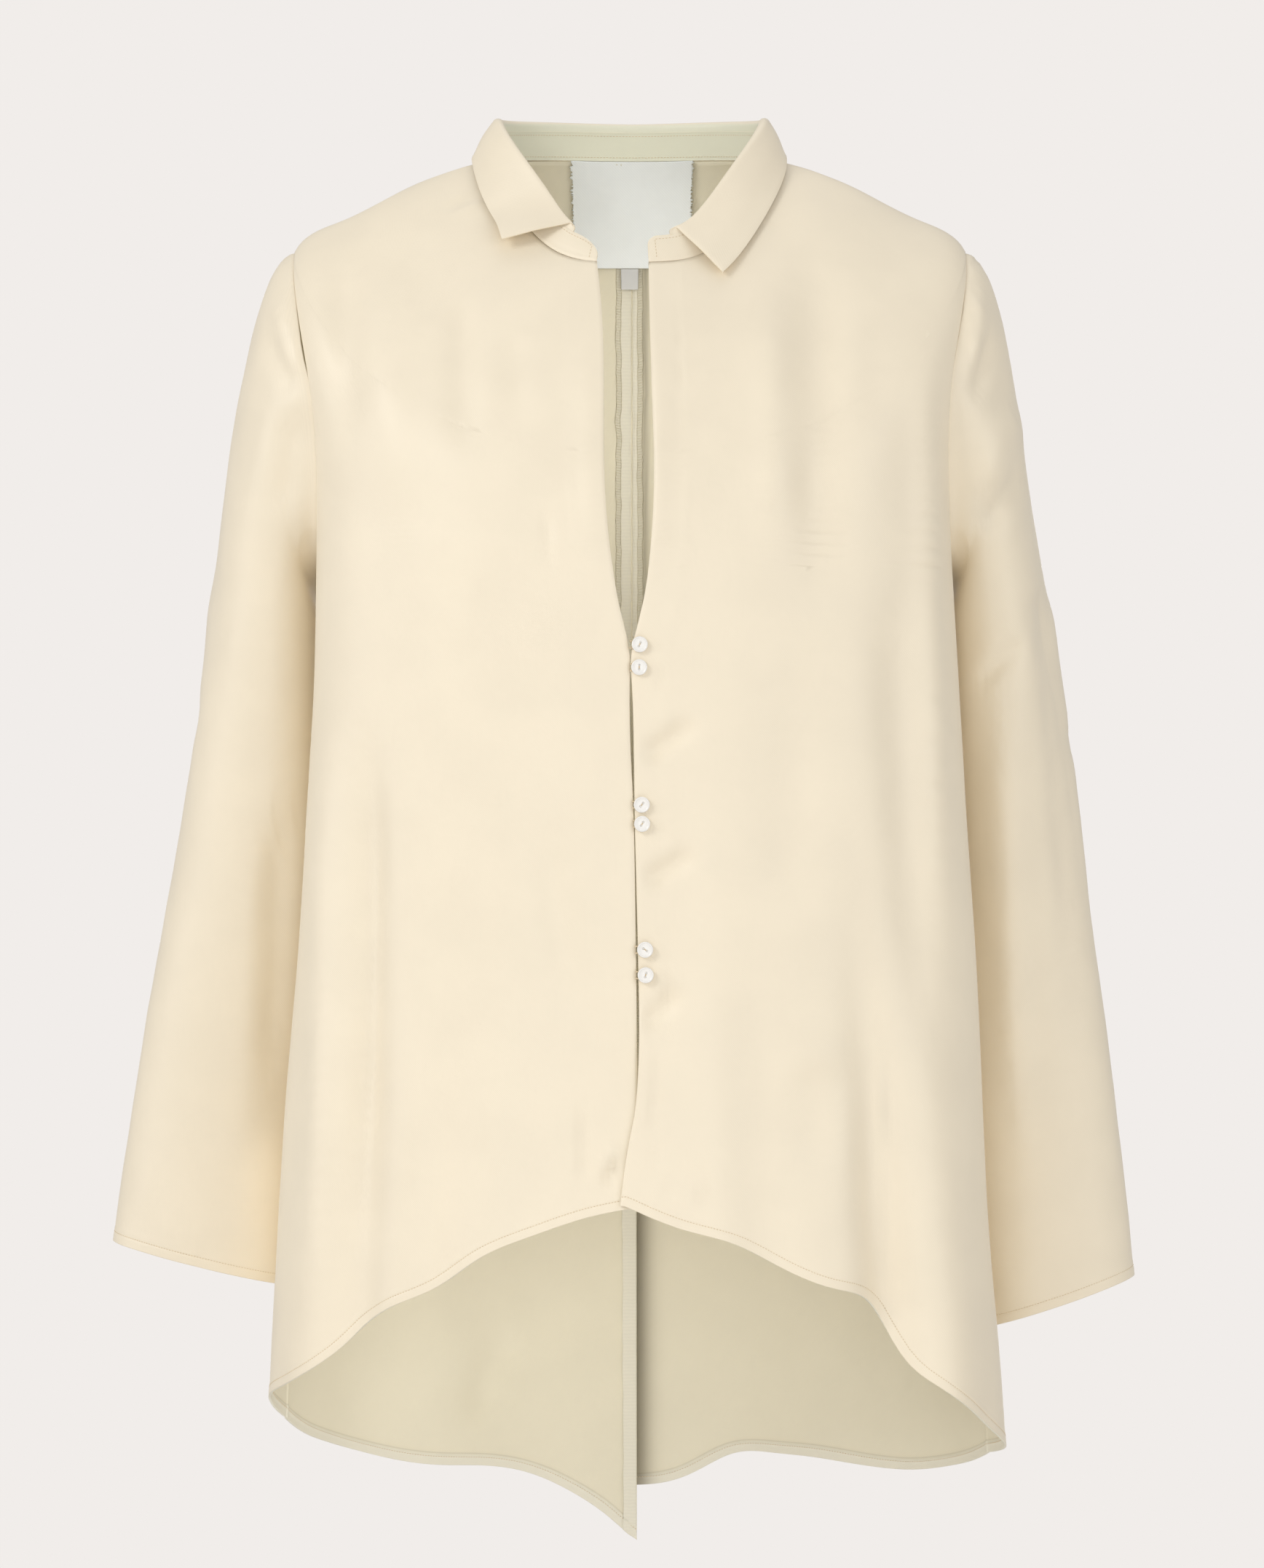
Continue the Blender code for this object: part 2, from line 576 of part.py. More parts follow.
def sleeve_ring(side, place, turns):
    """Points round the arm at a place along the table; turns run outer, front, inner, back."""
    table = SLEEVES[side]
    rows = range(len(table))
    size = {name: spline(rows, column(table, name), place) for name in SleeveRing._fields}
    cosine, sine = np.cos(turns), np.sin(turns)
    across = np.sign(cosine) * np.abs(cosine) ** (2 / SLEEVE_SQUARE)
    deep = np.sign(sine) * np.abs(sine) ** (2 / SLEEVE_SQUARE)
    middle_x = (size["outer_x"] + size["inner_x"]) / 2
    middle_z = (size["outer_z"] + size["inner_z"]) / 2
    x = side * (middle_x + (size["outer_x"] - size["inner_x"]) / 2 * across)
    y = size["middle_y"] - size["half_depth"] * deep
    z = middle_z + (size["outer_z"] - size["inner_z"]) / 2 * across
    return np.stack(np.broadcast_arrays(x, y, z), axis=-1)


def sleeve_rows(side):
    """Outer points of a sleeve, ring by ring from the armhole to the cuff."""
    hole, out, inwards = armhole_loop(side)
    count = len(hole)
    turns = np.linspace(0, 2 * math.pi, count, endpoint=False)
    start = hole + inwards * SEAM_GAP
    end = sleeve_ring(side, 0.0, turns)
    down = unit(sleeve_ring(side, 0.1, turns) - end)
    low = ((1 - np.cos(turns)) / 2)[:, None]  # 0 at the shoulder, 1 at the underarm
    leave = unit(inwards * (1 - low) + out * (0.35 + 0.65 * low) + np.array([0, 0, -0.3]) * low)
    puff = unit(inwards * 0.4 + out) * (1 - low) * CAP_PUFF
    reach = np.linalg.norm(end - start, axis=-1, keepdims=True)
    push, pull = leave * np.minimum(CAP_PUSH, reach * 1.1), down * np.minimum(CAP_PULL, reach * 1.1)
    rows = [start]
    for t in CAP_SHARES:
        t2, t3 = t * t, t**3
        row = start * (2 * t3 - 3 * t2 + 1) + end * (3 * t2 - 2 * t3)
        row = row + push * (t3 - 2 * t2 + t) + pull * (t3 - t2)
        rows.append(row + puff * 24 * t * (1 - t) ** 8)
    rows += [sleeve_ring(side, place, turns) for place in range(len(SLEEVES[side]))]
    return np.array(rows), out


def tube_normals(rows):
    """Outward normals of a tube of points, ring by ring."""
    along = np.gradient(rows, axis=0)
    around = np.roll(rows, -1, axis=1) - np.roll(rows, 1, axis=1)
    out = unit(np.cross(around, along))
    middles = rows.mean(axis=1, keepdims=True)
    facing = np.sign(np.sum(out * (rows - middles), axis=-1).mean(axis=1))
    return out * facing[:, None, None]


def make_sleeves(finish):
    for name, side in (("sleeve_right", RIGHT), ("sleeve_left", LEFT)):
        rows, seam_out = sleeve_rows(side)
        out = tube_normals(rows)
        out[0] = seam_out
        out[1] = unit(out[1] + seam_out)
        wall(name, rows, rows - out * CLOTH, finish, closed=True)


# Collar -------------------------------------------------------------------------------------
def neck_frame(angle, side):
    """The neckline's points and its along, outward and up-the-stand directions."""
    point = ring_point(0.0, angle, side)
    along = unit(ring_point(0.0, angle + 0.5, side) - ring_point(0.0, angle - 0.5, side))
    level = np.stack([along[..., 1], -along[..., 0], np.zeros(np.shape(angle))], axis=-1)
    level = unit(level) * side
    lean = read(STAND, "angle", "lean", -np.abs(angle))[..., None]
    up = np.array([0.0, 0.0, 1.0]) - level * lean
    up = unit(up - along * np.sum(up * along, axis=-1, keepdims=True))
    return point, along, unit(np.cross(along, up)) * side, up


def neck_places(side):
    """Angles round one side of the neckline, at the columns of the panels below it."""
    front, seam = float(front_edge(np.array(0.0), side)), read(SHOULDER_SEAM, "ring", "angle", 0.0)
    seam = float(around_at_angle(np.array(0.0), seam, side))
    fronts = np.linspace(front, seam, FRONT_COLUMNS + 1)
    around = np.concatenate([fronts, np.linspace(seam, 1, BACK_COLUMNS + 1)[1:]])
    return angle_at(np.zeros(around.shape), around, side)


def whole_neck(right_angle=0.0, left_angle=0.0):
    """(angle, side) from the right front end, over the back, to the left front end."""
    ends = {RIGHT: right_angle, LEFT: left_angle}
    places = {}
    for side, end in ends.items():
        angles = neck_places(side)
        first = max(end, angles[0])
        kept = [a for a in angles if a > first + 1.0]
        places[side] = [(a, side) for a in [first] + kept]
    return places[RIGHT] + places[LEFT][-2::-1]


def stand_height(angle, side):
    name = "right_height" if side == RIGHT else "left_height"
    return read(STAND, "angle", name, -np.abs(angle))


def front_end_angle(side):
    ring = np.array(0.0)
    return float(angle_at(ring, front_edge(ring, side), side))


def make_stand(finish):
    ends = {side: front_end_angle(side) for side in (RIGHT, LEFT)}
    outer, inner = [], []
    shares = (0.0, 0.34, 0.67, 1.0)
    for angle, side in whole_neck():
        point, _, out, up = neck_frame(np.array(angle), side)
        end = STAND_ENDS[side]
        to_square = max(0.0, 1 - (angle - ends[side]) / end.round_angle)
        corner = end.least + (1 - end.least) * math.sqrt(max(0.0, 1 - to_square**2))
        rise = [SEAM_GAP * 1.4 + stand_height(angle, side) * corner * share for share in shares]
        outer.append([point + up * r for r in rise])
        inner.append([point + up * r - out * STAND_CLOTH for r in rise])
    wall("collar_stand", np.array(outer), np.array(inner), finish)


def leaf_profile(angle, side):
    """Middle of the leaf and its normals, from the stand's seam, over the roll, to its edge."""
    table = LEAF[side]
    point, _, out, up = neck_frame(np.array(angle), side)
    stand_top = SEAM_GAP * 1.4 + stand_height(angle, side)
    base = point + up * (stand_top + LEAF_SEAM) - out * STAND_CLOTH / 2
    top = base + up * float(read(table, "angle", "rise", angle))
    ring, turn = read(table, "angle", "edge_ring", angle), read(table, "angle", "edge_angle", angle)
    around = around_at_angle(ring, turn, side)
    edge = torso(ring, around, side) + normals_of(torso, ring, around, side) * LEAF_CLEAR
    reach = edge - top
    outwards = unit(reach - up * np.dot(reach, up))
    far, low = float(np.dot(reach, outwards)) - LEAF_ROLL, float(np.dot(reach, up))
    span = math.hypot(far, low)
    last = math.atan2(low, -far) % (2 * math.pi) - math.acos(LEAF_ROLL / span)
    turns = np.linspace(0, last, 4)
    centre = top + outwards * LEAF_ROLL
    normal = [up * math.sin(a) - outwards * math.cos(a) for a in turns]
    face = [centre + n * LEAF_ROLL for n in normal]
    steps = (0.33, 0.67, 1.0)
    line = [face[-1] + (edge - face[-1]) * step for step in steps]
    return [base] + face + line, [-outwards] + normal + [normal[-1]] * len(steps)


def make_leaf(finish):
    near, far = [], []
    for angle, side in whole_neck(LEAF[RIGHT][0].angle, LEAF[LEFT][0].angle):
        face, normal = leaf_profile(angle, side)
        face, normal = np.array(face), np.array(normal)
        near.append(face + normal * LEAF_CLOTH / 2)
        far.append(face - normal * LEAF_CLOTH / 2)
    wall("collar_leaf", np.array(near), np.array(far), finish)


# Trims --------------------------------------------------------------------------------------
def front_point(height, x):
    """A point on the left front's outer face, and the outward normal there."""
    ring = ring_at_height(height)
    around = around_at_x(ring, x, LEFT)
    return torso(ring, around, LEFT), normals_of(torso, ring, around, LEFT)


def turned(name, profile, centre, out, finish, sides=14):
    """A turned solid: profile rows are (radius, height above centre), bottom to top."""
    across = unit(np.cross(out, [0.0, 0.0, 1.0]))
    upwards = np.cross(across, out)
    bm = bmesh.new()
    turns = np.linspace(0, 2 * math.pi, sides, endpoint=False)[:, None]
    circle = across * np.cos(turns) + upwards * np.sin(turns)
    rings = []
    for radius, height in profile:
        ring = centre + out * height + circle * radius
        rings.append([bm.verts.new(p) for p in ring])
    bm.faces.new(rings[0][::-1])
    bm.faces.new(rings[-1])
    for low, high in zip(rings, rings[1:]):
        for i in range(sides):
            j = (i + 1) % sides
            bm.faces.new((low[i], low[j], high[j], high[i]))
    bmesh.ops.recalc_face_normals(bm, faces=bm.faces)
    mesh = bpy.data.meshes.new(name)
    bm.to_mesh(mesh)
    bm.free()
    add_object(name, mesh, finish)


def button_place(height):
    x = float(read(FRONT_EDGES[::-1], "height", "left_x", height)) + BUTTON_INSET
    return front_point(height, x)


def make_buttons(finish):
    edge = BUTTON_THICK * 0.25
    profile = (
        (SHANK_RADIUS, SEAM_GAP),
        (SHANK_RADIUS, BUTTON_LIFT),
        (BUTTON_RADIUS - edge, BUTTON_LIFT),
        (BUTTON_RADIUS, BUTTON_LIFT + edge),
        (BUTTON_RADIUS, BUTTON_LIFT + BUTTON_THICK - edge),
        (BUTTON_RADIUS - edge, BUTTON_LIFT + BUTTON_THICK),
    )
    for number, height in enumerate(BUTTON_HEIGHTS, 1):
        centre, out = button_place(height)
        turned(f"button_{number}", profile, centre, out, finish)


def make_loops(finish):
    """A thread loop from the right front's edge, round the button's shank and back."""
    for number, height in enumerate(BUTTON_HEIGHTS, 1):
        centre, out = button_place(height)
        across = unit(np.cross([0.0, 0.0, 1.0], out))
        across *= np.sign(across[0])
        upwards = np.cross(out, across)
        level = centre + out * (SEAM_GAP + LOOP_WIRE)
        edge_x = float(read(FRONT_EDGES[::-1], "height", "right_x", height)) + SEAM_GAP
        tail = float(centre[0]) - edge_x
        turns = np.radians(np.linspace(-90, 90, 7))[:, None]
        bend = level + LOOP_BEND * (across * np.cos(turns) + upwards * np.sin(turns))
        start, end = bend[0] - across * tail, bend[-1] - across * tail
        curve = bpy.data.curves.new(f"loop_{number}", "CURVE")
        curve.dimensions = "3D"
        curve.bevel_depth = LOOP_WIRE
        curve.bevel_resolution = 1
        curve.use_fill_caps = True
        line = curve.splines.new("POLY")
        route = [start, *bend, end]
        line.points.add(len(route) - 1)
        for point, place in zip(line.points, route):
            point.co = (*place, 1)
        curve.materials.append(finish)
        made = bpy.data.objects.new(f"loop_{number}", curve)
        bpy.context.scene.collection.objects.link(made)


def back_inside(x, z, clear):
    """A point in front of the back's inner face, at a given x and height."""
    side = RIGHT if x < 0 else LEFT
    rings = np.linspace(0, UNDERARM, 90)
    around = around_at_x(rings, np.full(rings.shape, x), side, back=True)
    points = torso(rings, around, side)
    y = np.interp(-z, -points[:, 2], points[:, 1])
    return np.array([x, y - clear, z])


def hanging_sheet(name, xs, heights, clears, thickness, finish):
    """A sheet in front of the back, a given distance clear of it at each height."""
    rows = [[back_inside(x, z, clear) for x in xs] for z, clear in zip(heights, clears)]
    far = np.array(rows)
    wall(name, far - [0, thickness, 0], far, finish)


def make_labels(cloth, tape):
    behind = CLOTH * 1.4 + ALLOWANCE_CLOTH + SEAM_GAP + LABEL_CLEAR
    xs = np.linspace(-LABEL_WIDTH / 2, LABEL_WIDTH / 2, 9)
    heights = np.linspace(LABEL_BOTTOM, LABEL_TOP, 6)
    clears = np.linspace(behind + LABEL_SWING, behind, 6)
    hanging_sheet("neck_label", xs, heights, clears, LABEL_CLOTH, cloth)
    xs = TAB_MIDDLE + np.linspace(-TAB_WIDTH / 2, TAB_WIDTH / 2, 3)
    heights = np.linspace(TAB_BOTTOM, LABEL_BOTTOM - SEAM_GAP, 3)
    hanging_sheet("size_tab", xs, heights, clears[:1].repeat(3), TAB_CLOTH, tape)


def main():
    for item in list(bpy.data.objects):
        bpy.data.objects.remove(item)
    satin = material("cream_satin", (0.86, 0.76, 0.60), 0.42)
    shell = material("pearl_shell", (0.86, 0.84, 0.80), 0.22)
    thread = material("cream_thread", (0.80, 0.70, 0.52), 0.6)
    label = material("white_label", (0.84, 0.86, 0.85), 0.7)
    tape = material("grey_tape", (0.68, 0.68, 0.67), 0.7)
    make_fronts(satin)
    make_backs(satin)
    make_sleeves(satin)
    make_stand(satin)
    make_leaf(satin)
    make_buttons(shell)
    make_loops(thread)
    make_labels(label, tape)


main()
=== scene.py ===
"""Looks of the long-sleeved satin shirt, laid out as a Blender add-on and run as a script.

Metres, +Z up, the front faces -Y and the wearer's right is at -X. Each panel is a thin shell on the
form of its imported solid, worked out from the same rings and seams, with its finer folds, seam
ditches, hems and sewing.
"""

import math
from collections import namedtuple

import bmesh
import bpy
import numpy as np
from mathutils import Matrix, Vector, noise


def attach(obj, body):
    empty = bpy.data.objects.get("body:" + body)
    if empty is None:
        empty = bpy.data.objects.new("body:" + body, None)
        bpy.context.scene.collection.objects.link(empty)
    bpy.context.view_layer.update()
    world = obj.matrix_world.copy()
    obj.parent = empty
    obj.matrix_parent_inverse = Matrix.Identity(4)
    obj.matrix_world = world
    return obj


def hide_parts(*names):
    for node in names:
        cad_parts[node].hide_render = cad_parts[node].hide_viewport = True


bl_info = {
    "name": "Satin Shirt",
    "version": (1, 0, 0),
    "blender": (4, 5, 0),
    "location": "3D View > Sidebar > Shirt",
    "description": "Makes the cloth, sewing and trims of a long-sleeved shirt",
    "category": "Object",
}

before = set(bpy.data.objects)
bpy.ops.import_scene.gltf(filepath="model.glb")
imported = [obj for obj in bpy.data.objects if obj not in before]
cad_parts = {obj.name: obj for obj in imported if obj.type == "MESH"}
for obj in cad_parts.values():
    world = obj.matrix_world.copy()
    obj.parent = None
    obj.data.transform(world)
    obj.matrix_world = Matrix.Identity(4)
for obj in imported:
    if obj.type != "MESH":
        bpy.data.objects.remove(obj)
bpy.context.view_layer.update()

RIGHT, LEFT = -1, 1  # the wearer's sides, as signs of x
SIDE_NAMES = {RIGHT: "right", LEFT: "left"}
STAND_CLOTH, LEAF_CLOTH = 0.0018, 0.0015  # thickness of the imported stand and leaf
SEAM_GAP = 0.0003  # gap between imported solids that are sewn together

# The torso's form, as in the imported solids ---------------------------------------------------
SHOULDER, UNDERARM = 4, 8  # ring numbers
DROOP_POWER = 1.25  # how a ring sinks from its sides to the centre front and back
NECK_DROOP, NECK_DROOP_RINGS = 1.2, 3.0  # an extra sag by the neck, and the rings it fades over
OVERLAP_ANGLE = 25  # degrees that a ring is followed past the centre front and back

Section = namedtuple(
    "Section",
    "right_width left_width side_y front_y back_y side_z front_z back_z front_square back_square",
)
SECTIONS = (
    Section(0.0790, 0.0780, 0.004, -0.066, 0.062, 0.008, -0.059, 0.013, 2.0, 2.1),
    Section(0.1090, 0.1090, 0.001, -0.084, 0.077, -0.001, -0.086, -0.018, 2.05, 2.2),
    Section(0.1390, 0.1380, -0.001, -0.098, 0.090, -0.014, -0.116, -0.052, 2.1, 2.3),
    Section(0.1690, 0.1670, -0.002, -0.109, 0.099, -0.029, -0.145, -0.088, 2.2, 2.4),
    Section(0.1965, 0.1940, -0.003, -0.117, 0.105, -0.047, -0.172, -0.124, 2.3, 2.4),
    Section(0.1980, 0.1955, -0.011, -0.122, 0.109, -0.090, -0.190, -0.155, 2.3, 2.35),
    Section(0.1895, 0.1885, -0.020, -0.125, 0.111, -0.135, -0.206, -0.184, 2.3, 2.3),
    Section(0.1825, 0.1835, -0.029, -0.127, 0.112, -0.185, -0.221, -0.210, 2.3, 2.2),
    Section(0.1818, 0.1845, -0.034, -0.128, 0.113, -0.236, -0.236, -0.236, 2.3, 2.1),
    Section(0.1830, 0.1885, -0.035, -0.129, 0.117, -0.300, -0.300, -0.300, 2.3, 2.05),
    Section(0.1872, 0.1932, -0.034, -0.130, 0.123, -0.380, -0.380, -0.380, 2.3, 2.05),
    Section(0.1930, 0.1982, -0.032, -0.131, 0.131, -0.460, -0.460, -0.460, 2.3, 2.05),
    Section(0.1998, 0.2024, -0.028, -0.133, 0.140, -0.540, -0.540, -0.540, 2.3, 2.1),
    Section(0.2052, 0.2071, -0.022, -0.136, 0.149, -0.620, -0.620, -0.620, 2.3, 2.1),
    Section(0.2098, 0.2140, -0.014, -0.139, 0.157, -0.700, -0.700, -0.700, 2.3, 2.15),
    Section(0.2150, 0.2210, -0.008, -0.142, 0.165, -0.830, -0.830, -0.830, 2.3, 2.2),
)

# Seams that run across the rings: degrees from the centre front, by ring number.
SeamPoint = namedtuple("SeamPoint", "ring angle")
SHOULDER_SEAM = (SeamPoint(0, 94), SeamPoint(2, 96), SeamPoint(SHOULDER, 95))
SIDE_SEAM = (SeamPoint(UNDERARM, 108), SeamPoint(11, 106), SeamPoint(15, 104))

# The armhole: turn is 0 at the shoulder tip and 180 at the underarm.
ArmholePoint = namedtuple("ArmholePoint", "turn front_angle back_angle")
ARMHOLE = (
    ArmholePoint(0, 95, 95),
    ArmholePoint(30, 76, 106),
    ArmholePoint(60, 70, 114),
    ArmholePoint(90, 74, 121),
    ArmholePoint(120, 83, 125),
    ArmholePoint(150, 94, 122),
    ArmholePoint(180, 108, 108),
)

# The two front edges: the neck opening gapes, and below the buttons the left front laps over.
FrontEdge = namedtuple("FrontEdge", "height right_x left_x")
FRONT_EDGES = (
    FrontEdge(-0.050, -0.0212, 0.0094),
    FrontEdge(-0.091, -0.0171, 0.0100),
    FrontEdge(-0.149, -0.0158, 0.0115),
    FrontEdge(-0.190, -0.0152, 0.0122),
    FrontEdge(-0.2185, -0.0131, 0.0109),
    FrontEdge(-0.2417, -0.0100, 0.0086),
    FrontEdge(-0.261, -0.0064, 0.0050),
    FrontEdge(-0.279, -0.0021, 0.0006),
    FrontEdge(-0.300, -0.0014, 0.0002),
    FrontEdge(-0.369, 0.0001, 0.0015),
    FrontEdge(-0.451, 0.0015, 0.0034),
    FrontEdge(-0.506, 0.0026, 0.0036),
    FrontEdge(-0.539, 0.0034, 0.0015),
    FrontEdge(-0.572, 0.0042, -0.0038),
    FrontEdge(-0.610, 0.0050, -0.0086),
)
LAP_TOP, LAP_LENGTH = -0.470, 0.050  # where the right front starts to tuck under the left
LAP_DEPTH, LAP_REACH = 0.0034, 0.060

# Hem heights by the place around: 0 is the centre front and 1 the centre back.
HEM_RING = 14  # the ring that places the hem's columns
HemPoint = namedtuple("HemPoint", "around right_z left_z")
FRONT_HEM = (
    HemPoint(-0.01, -0.5940, -0.5935),
    HemPoint(0.05, -0.6008, -0.6070),
    HemPoint(0.10, -0.6104, -0.6150),
    HemPoint(0.15, -0.6225, -0.6295),
    HemPoint(0.20, -0.6410, -0.6408),
    HemPoint(0.24, -0.6512, -0.6480),
    HemPoint(0.26, -0.6570, -0.6600),
    HemPoint(0.28, -0.6645, -0.6830),
    HemPoint(0.30, -0.6757, -0.6965),
    HemPoint(0.34, -0.6920, -0.7125),
    HemPoint(0.42, -0.7072, -0.7345),
    HemPoint(0.56, -0.7320, -0.7530),
)
BACK_HEM = (
    HemPoint(0.54, -0.7285, -0.7500),
    HemPoint(0.60, -0.7435, -0.7610),
    HemPoint(0.65, -0.7530, -0.7683),
    HemPoint(0.70, -0.7618, -0.7730),
    HemPoint(0.75, -0.7695, -0.7718),
    HemPoint(0.80, -0.7735, -0.7684),
    HemPoint(0.85, -0.7760, -0.7678),
    HemPoint(0.90, -0.7832, -0.7705),
    HemPoint(0.94, -0.7945, -0.7825),
    HemPoint(0.97, -0.8062, -0.7885),
    HemPoint(1.00, -0.8205, -0.7900),
    HemPoint(1.06, -0.8420, -0.7900),
)

# The vent in the centre back: the left back runs on behind the right one, further out.
VENT_TOP, VENT_EASE = -0.555, 0.030  # the left back moves out over the ease above the vent
VENT_RIGHT_X, VENT_UNDERLAP = 0.0028, 0.030
VENT_LIFT, VENT_REACH = 0.0038, 0.070

# The largest soft folds: a ridge, or a trough where height is negative, that fades in downwards.
Fold = namedtuple("Fold", "side around_top around_hem half_width height top_z full_z")
FOLDS = (
    Fold(RIGHT, 0.320, 0.345, 0.040, 0.0060, -0.36, -0.70),
    Fold(RIGHT, 0.275, 0.285, 0.028, -0.0110, -0.34, -0.68),
    Fold(RIGHT, 0.225, 0.235, 0.030, 0.0050, -0.42, -0.66),
    Fold(RIGHT, 0.185, 0.194, 0.026, -0.0080, -0.44, -0.64),
    Fold(RIGHT, 0.145, 0.148, 0.028, 0.0045, -0.40, -0.63),
    Fold(RIGHT, 0.700, 0.690, 0.060, 0.0070, -0.44, -0.78),
    Fold(RIGHT, 0.800, 0.790, 0.045, -0.0060, -0.45, -0.78),
    Fold(RIGHT, 0.900, 0.895, 0.040, 0.0060, -0.50, -0.80),
    Fold(LEFT, 0.310, 0.325, 0.045, 0.0130, -0.30, -0.70),
    Fold(LEFT, 0.246, 0.266, 0.030, -0.0280, -0.36, -0.69),
    Fold(LEFT, 0.130, 0.135, 0.030, -0.0050, -0.40, -0.63),
    Fold(LEFT, 0.085, 0.092, 0.028, 0.0050, -0.36, -0.62),
    Fold(LEFT, 0.680, 0.660, 0.060, 0.0070, -0.46, -0.77),
    Fold(LEFT, 0.800, 0.790, 0.050, -0.0110, -0.44, -0.77),
    Fold(LEFT, 0.900, 0.895, 0.035, 0.0080, -0.50, -0.78),
)

# Sleeves: outer and inner edge of each ring as seen from the front, and its depth.
SleeveRing = namedtuple("SleeveRing", "outer_x outer_z inner_x inner_z middle_y half_depth")
SLEEVES = {
    RIGHT: (
        SleeveRing(0.2460, -0.232, 0.1795, -0.268, 0.036, 0.0600),
        SleeveRing(0.2600, -0.334, 0.1795, -0.366, 0.046, 0.0535),
        SleeveRing(0.2775, -0.437, 0.1850, -0.462, 0.055, 0.0465),
        SleeveRing(0.2960, -0.541, 0.1945, -0.561, 0.062, 0.0400),
        SleeveRing(0.3084, -0.630, 0.2030, -0.656, 0.067, 0.0365),
    ),
    LEFT: (
        SleeveRing(0.2415, -0.232, 0.1820, -0.268, 0.036, 0.0600),
        SleeveRing(0.2600, -0.334, 0.1870, -0.366, 0.046, 0.0535),
        SleeveRing(0.2730, -0.437, 0.1910, -0.462, 0.055, 0.0465),
        SleeveRing(0.2873, -0.541, 0.1970, -0.563, 0.062, 0.0400),
        SleeveRing(0.2994, -0.650, 0.2045, -0.682, 0.067, 0.0370),
    ),
}
SLEEVE_SQUARE = 2.15  # 2 would make the rings ellipses
CAP_PUSH, CAP_PULL = 0.115, 0.130  # how strongly the cap leaves the armhole and meets the arm
CAP_PUFF = 0.003  # the gathered head stands out this much just below the shoulder seam

# The collar's stand, by degrees from the centre front, made negative so that they rise.
StandPoint = namedtuple("StandPoint", "angle lean right_height left_height")
STAND = (
    StandPoint(-180, 0.10, 0.0165, 0.0165),
    StandPoint(-120, 0.10, 0.0165, 0.0165),
    StandPoint(-90, 0.12, 0.0160, 0.0160),
    StandPoint(-50, 0.28, 0.0150, 0.0158),
    StandPoint(-15, 0.42, 0.0132, 0.0158),
    StandPoint(0, 0.45, 0.0132, 0.0158),
)

# Its front ends are rounded off over an angle, down to the least share of its height.
StandEnd = namedtuple("StandEnd", "round_angle least")
STAND_ENDS = {RIGHT: StandEnd(13, 0.15), LEFT: StandEnd(5, 0.60)}

# The leaf rises from the stand, rolls over, and its free edge lies over the torso.
LeafPoint = namedtuple("LeafPoint", "angle rise edge_ring edge_angle")
LEAF = {
    RIGHT: (
        LeafPoint(32, 0.0005, 0.70, 47.5),
        LeafPoint(42, 0.0015, 0.56, 54),
        LeafPoint(55, 0.0030, 0.50, 63),
        LeafPoint(75, 0.0030, 0.46, 80),
        LeafPoint(95, 0.0028, 0.46, 97),
        LeafPoint(130, 0.0020, 0.45, 131),
        LeafPoint(180, 0.0012, 0.42, 180),
    ),
    LEFT: (
        LeafPoint(20, 0.0005, 0.68, 30.5),
        LeafPoint(32, 0.0010, 0.52, 41),
        LeafPoint(45, 0.0020, 0.43, 52),
        LeafPoint(65, 0.0032, 0.40, 70),
        LeafPoint(95, 0.0028, 0.38, 97),
        LeafPoint(130, 0.0020, 0.43, 131),
        LeafPoint(180, 0.0012, 0.42, 180),
    ),
}
LEAF_CLEAR = 0.0030  # how far the leaf's free edge stands off the cloth below it
LEAF_LIFT = {RIGHT: 0.0060, LEFT: 0.0018}  # the front corners stand up further than that
LEAF_ROLL, LEAF_SEAM = 0.0024, 0.0006  # radius of the roll, and the seam under it

# The buttons: the height each is sewn at, its turn in radians, and its tint: 0 is white, 0.5
# pink and 1 green.
Button = namedtuple("Button", "height turn tint")
BUTTONS = (
    Button(-0.2816, 1.1, 0.35),
    Button(-0.2933, 1.5, 0.0),
    Button(-0.3694, 0.9, 0.65),
    Button(-0.3803, 1.0, 0.2),
    Button(-0.4506, -0.6, 0.45),
    Button(-0.4647, 1.3, 1.0),
)
BUTTON_INSET, BUTTON_LIFT = 0.0039, 0.0017  # in from the left front's edge, and off its cloth
LOOP_WIRE, LOOP_BEND = 0.0005, 0.0019  # radii of a loop's cord and of its round end
LOOP_TWIST = 0.0021  # length in which a loop's two threads twist once round

STAND_GAP = SEAM_GAP * 1.4  # how far the stand's foot is above the neckline
STAND_SHELL = STAND_CLOTH - 0.0003  # thickness that the stand is made with
LEAF_SHELL = LEAF_CLOTH * 0.6

SEAM_ALLOWANCE = {RIGHT: 0.0100, LEFT: 0.0066}  # widths beside the centre back seam
ALLOWANCE_SHELL = 0.0005
ALLOWANCE_COLUMNS = 14  # columns of a back's mesh that lie within its allowance's reach
OVERLOCK_PITCH, OVERLOCK_REACH = 0.0016, 0.0030
LABEL_WIDTH, LABEL_TOP, LABEL_BOTTOM = 0.0720, 0.0122, -0.0489
LABEL_SWING = 0.0040  # how far forward of its top the label's foot hangs
LABEL_TAPER = 0.045  # how much narrower the label is at its foot
TAB_WIDTH, TAB_MIDDLE, TAB_BOTTOM = 0.0105, -0.0014, -0.0612

STEP, RING_STEP = 1e-3, 0.01  # steps round and down the torso that its normals are taken over
WELD = 1e-6  # points closer than this are made one
THREAD_BATCH = 40  # threads that are made in a mesh of their own before they're joined
BEND_STEPS = 40  # pieces that a crease's bend is followed in
CREASE_DEPTH = 1.55  # how deep the small creases below are made
FOLD_SHARE = 0.55  # the cloth's large folds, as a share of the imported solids' ones

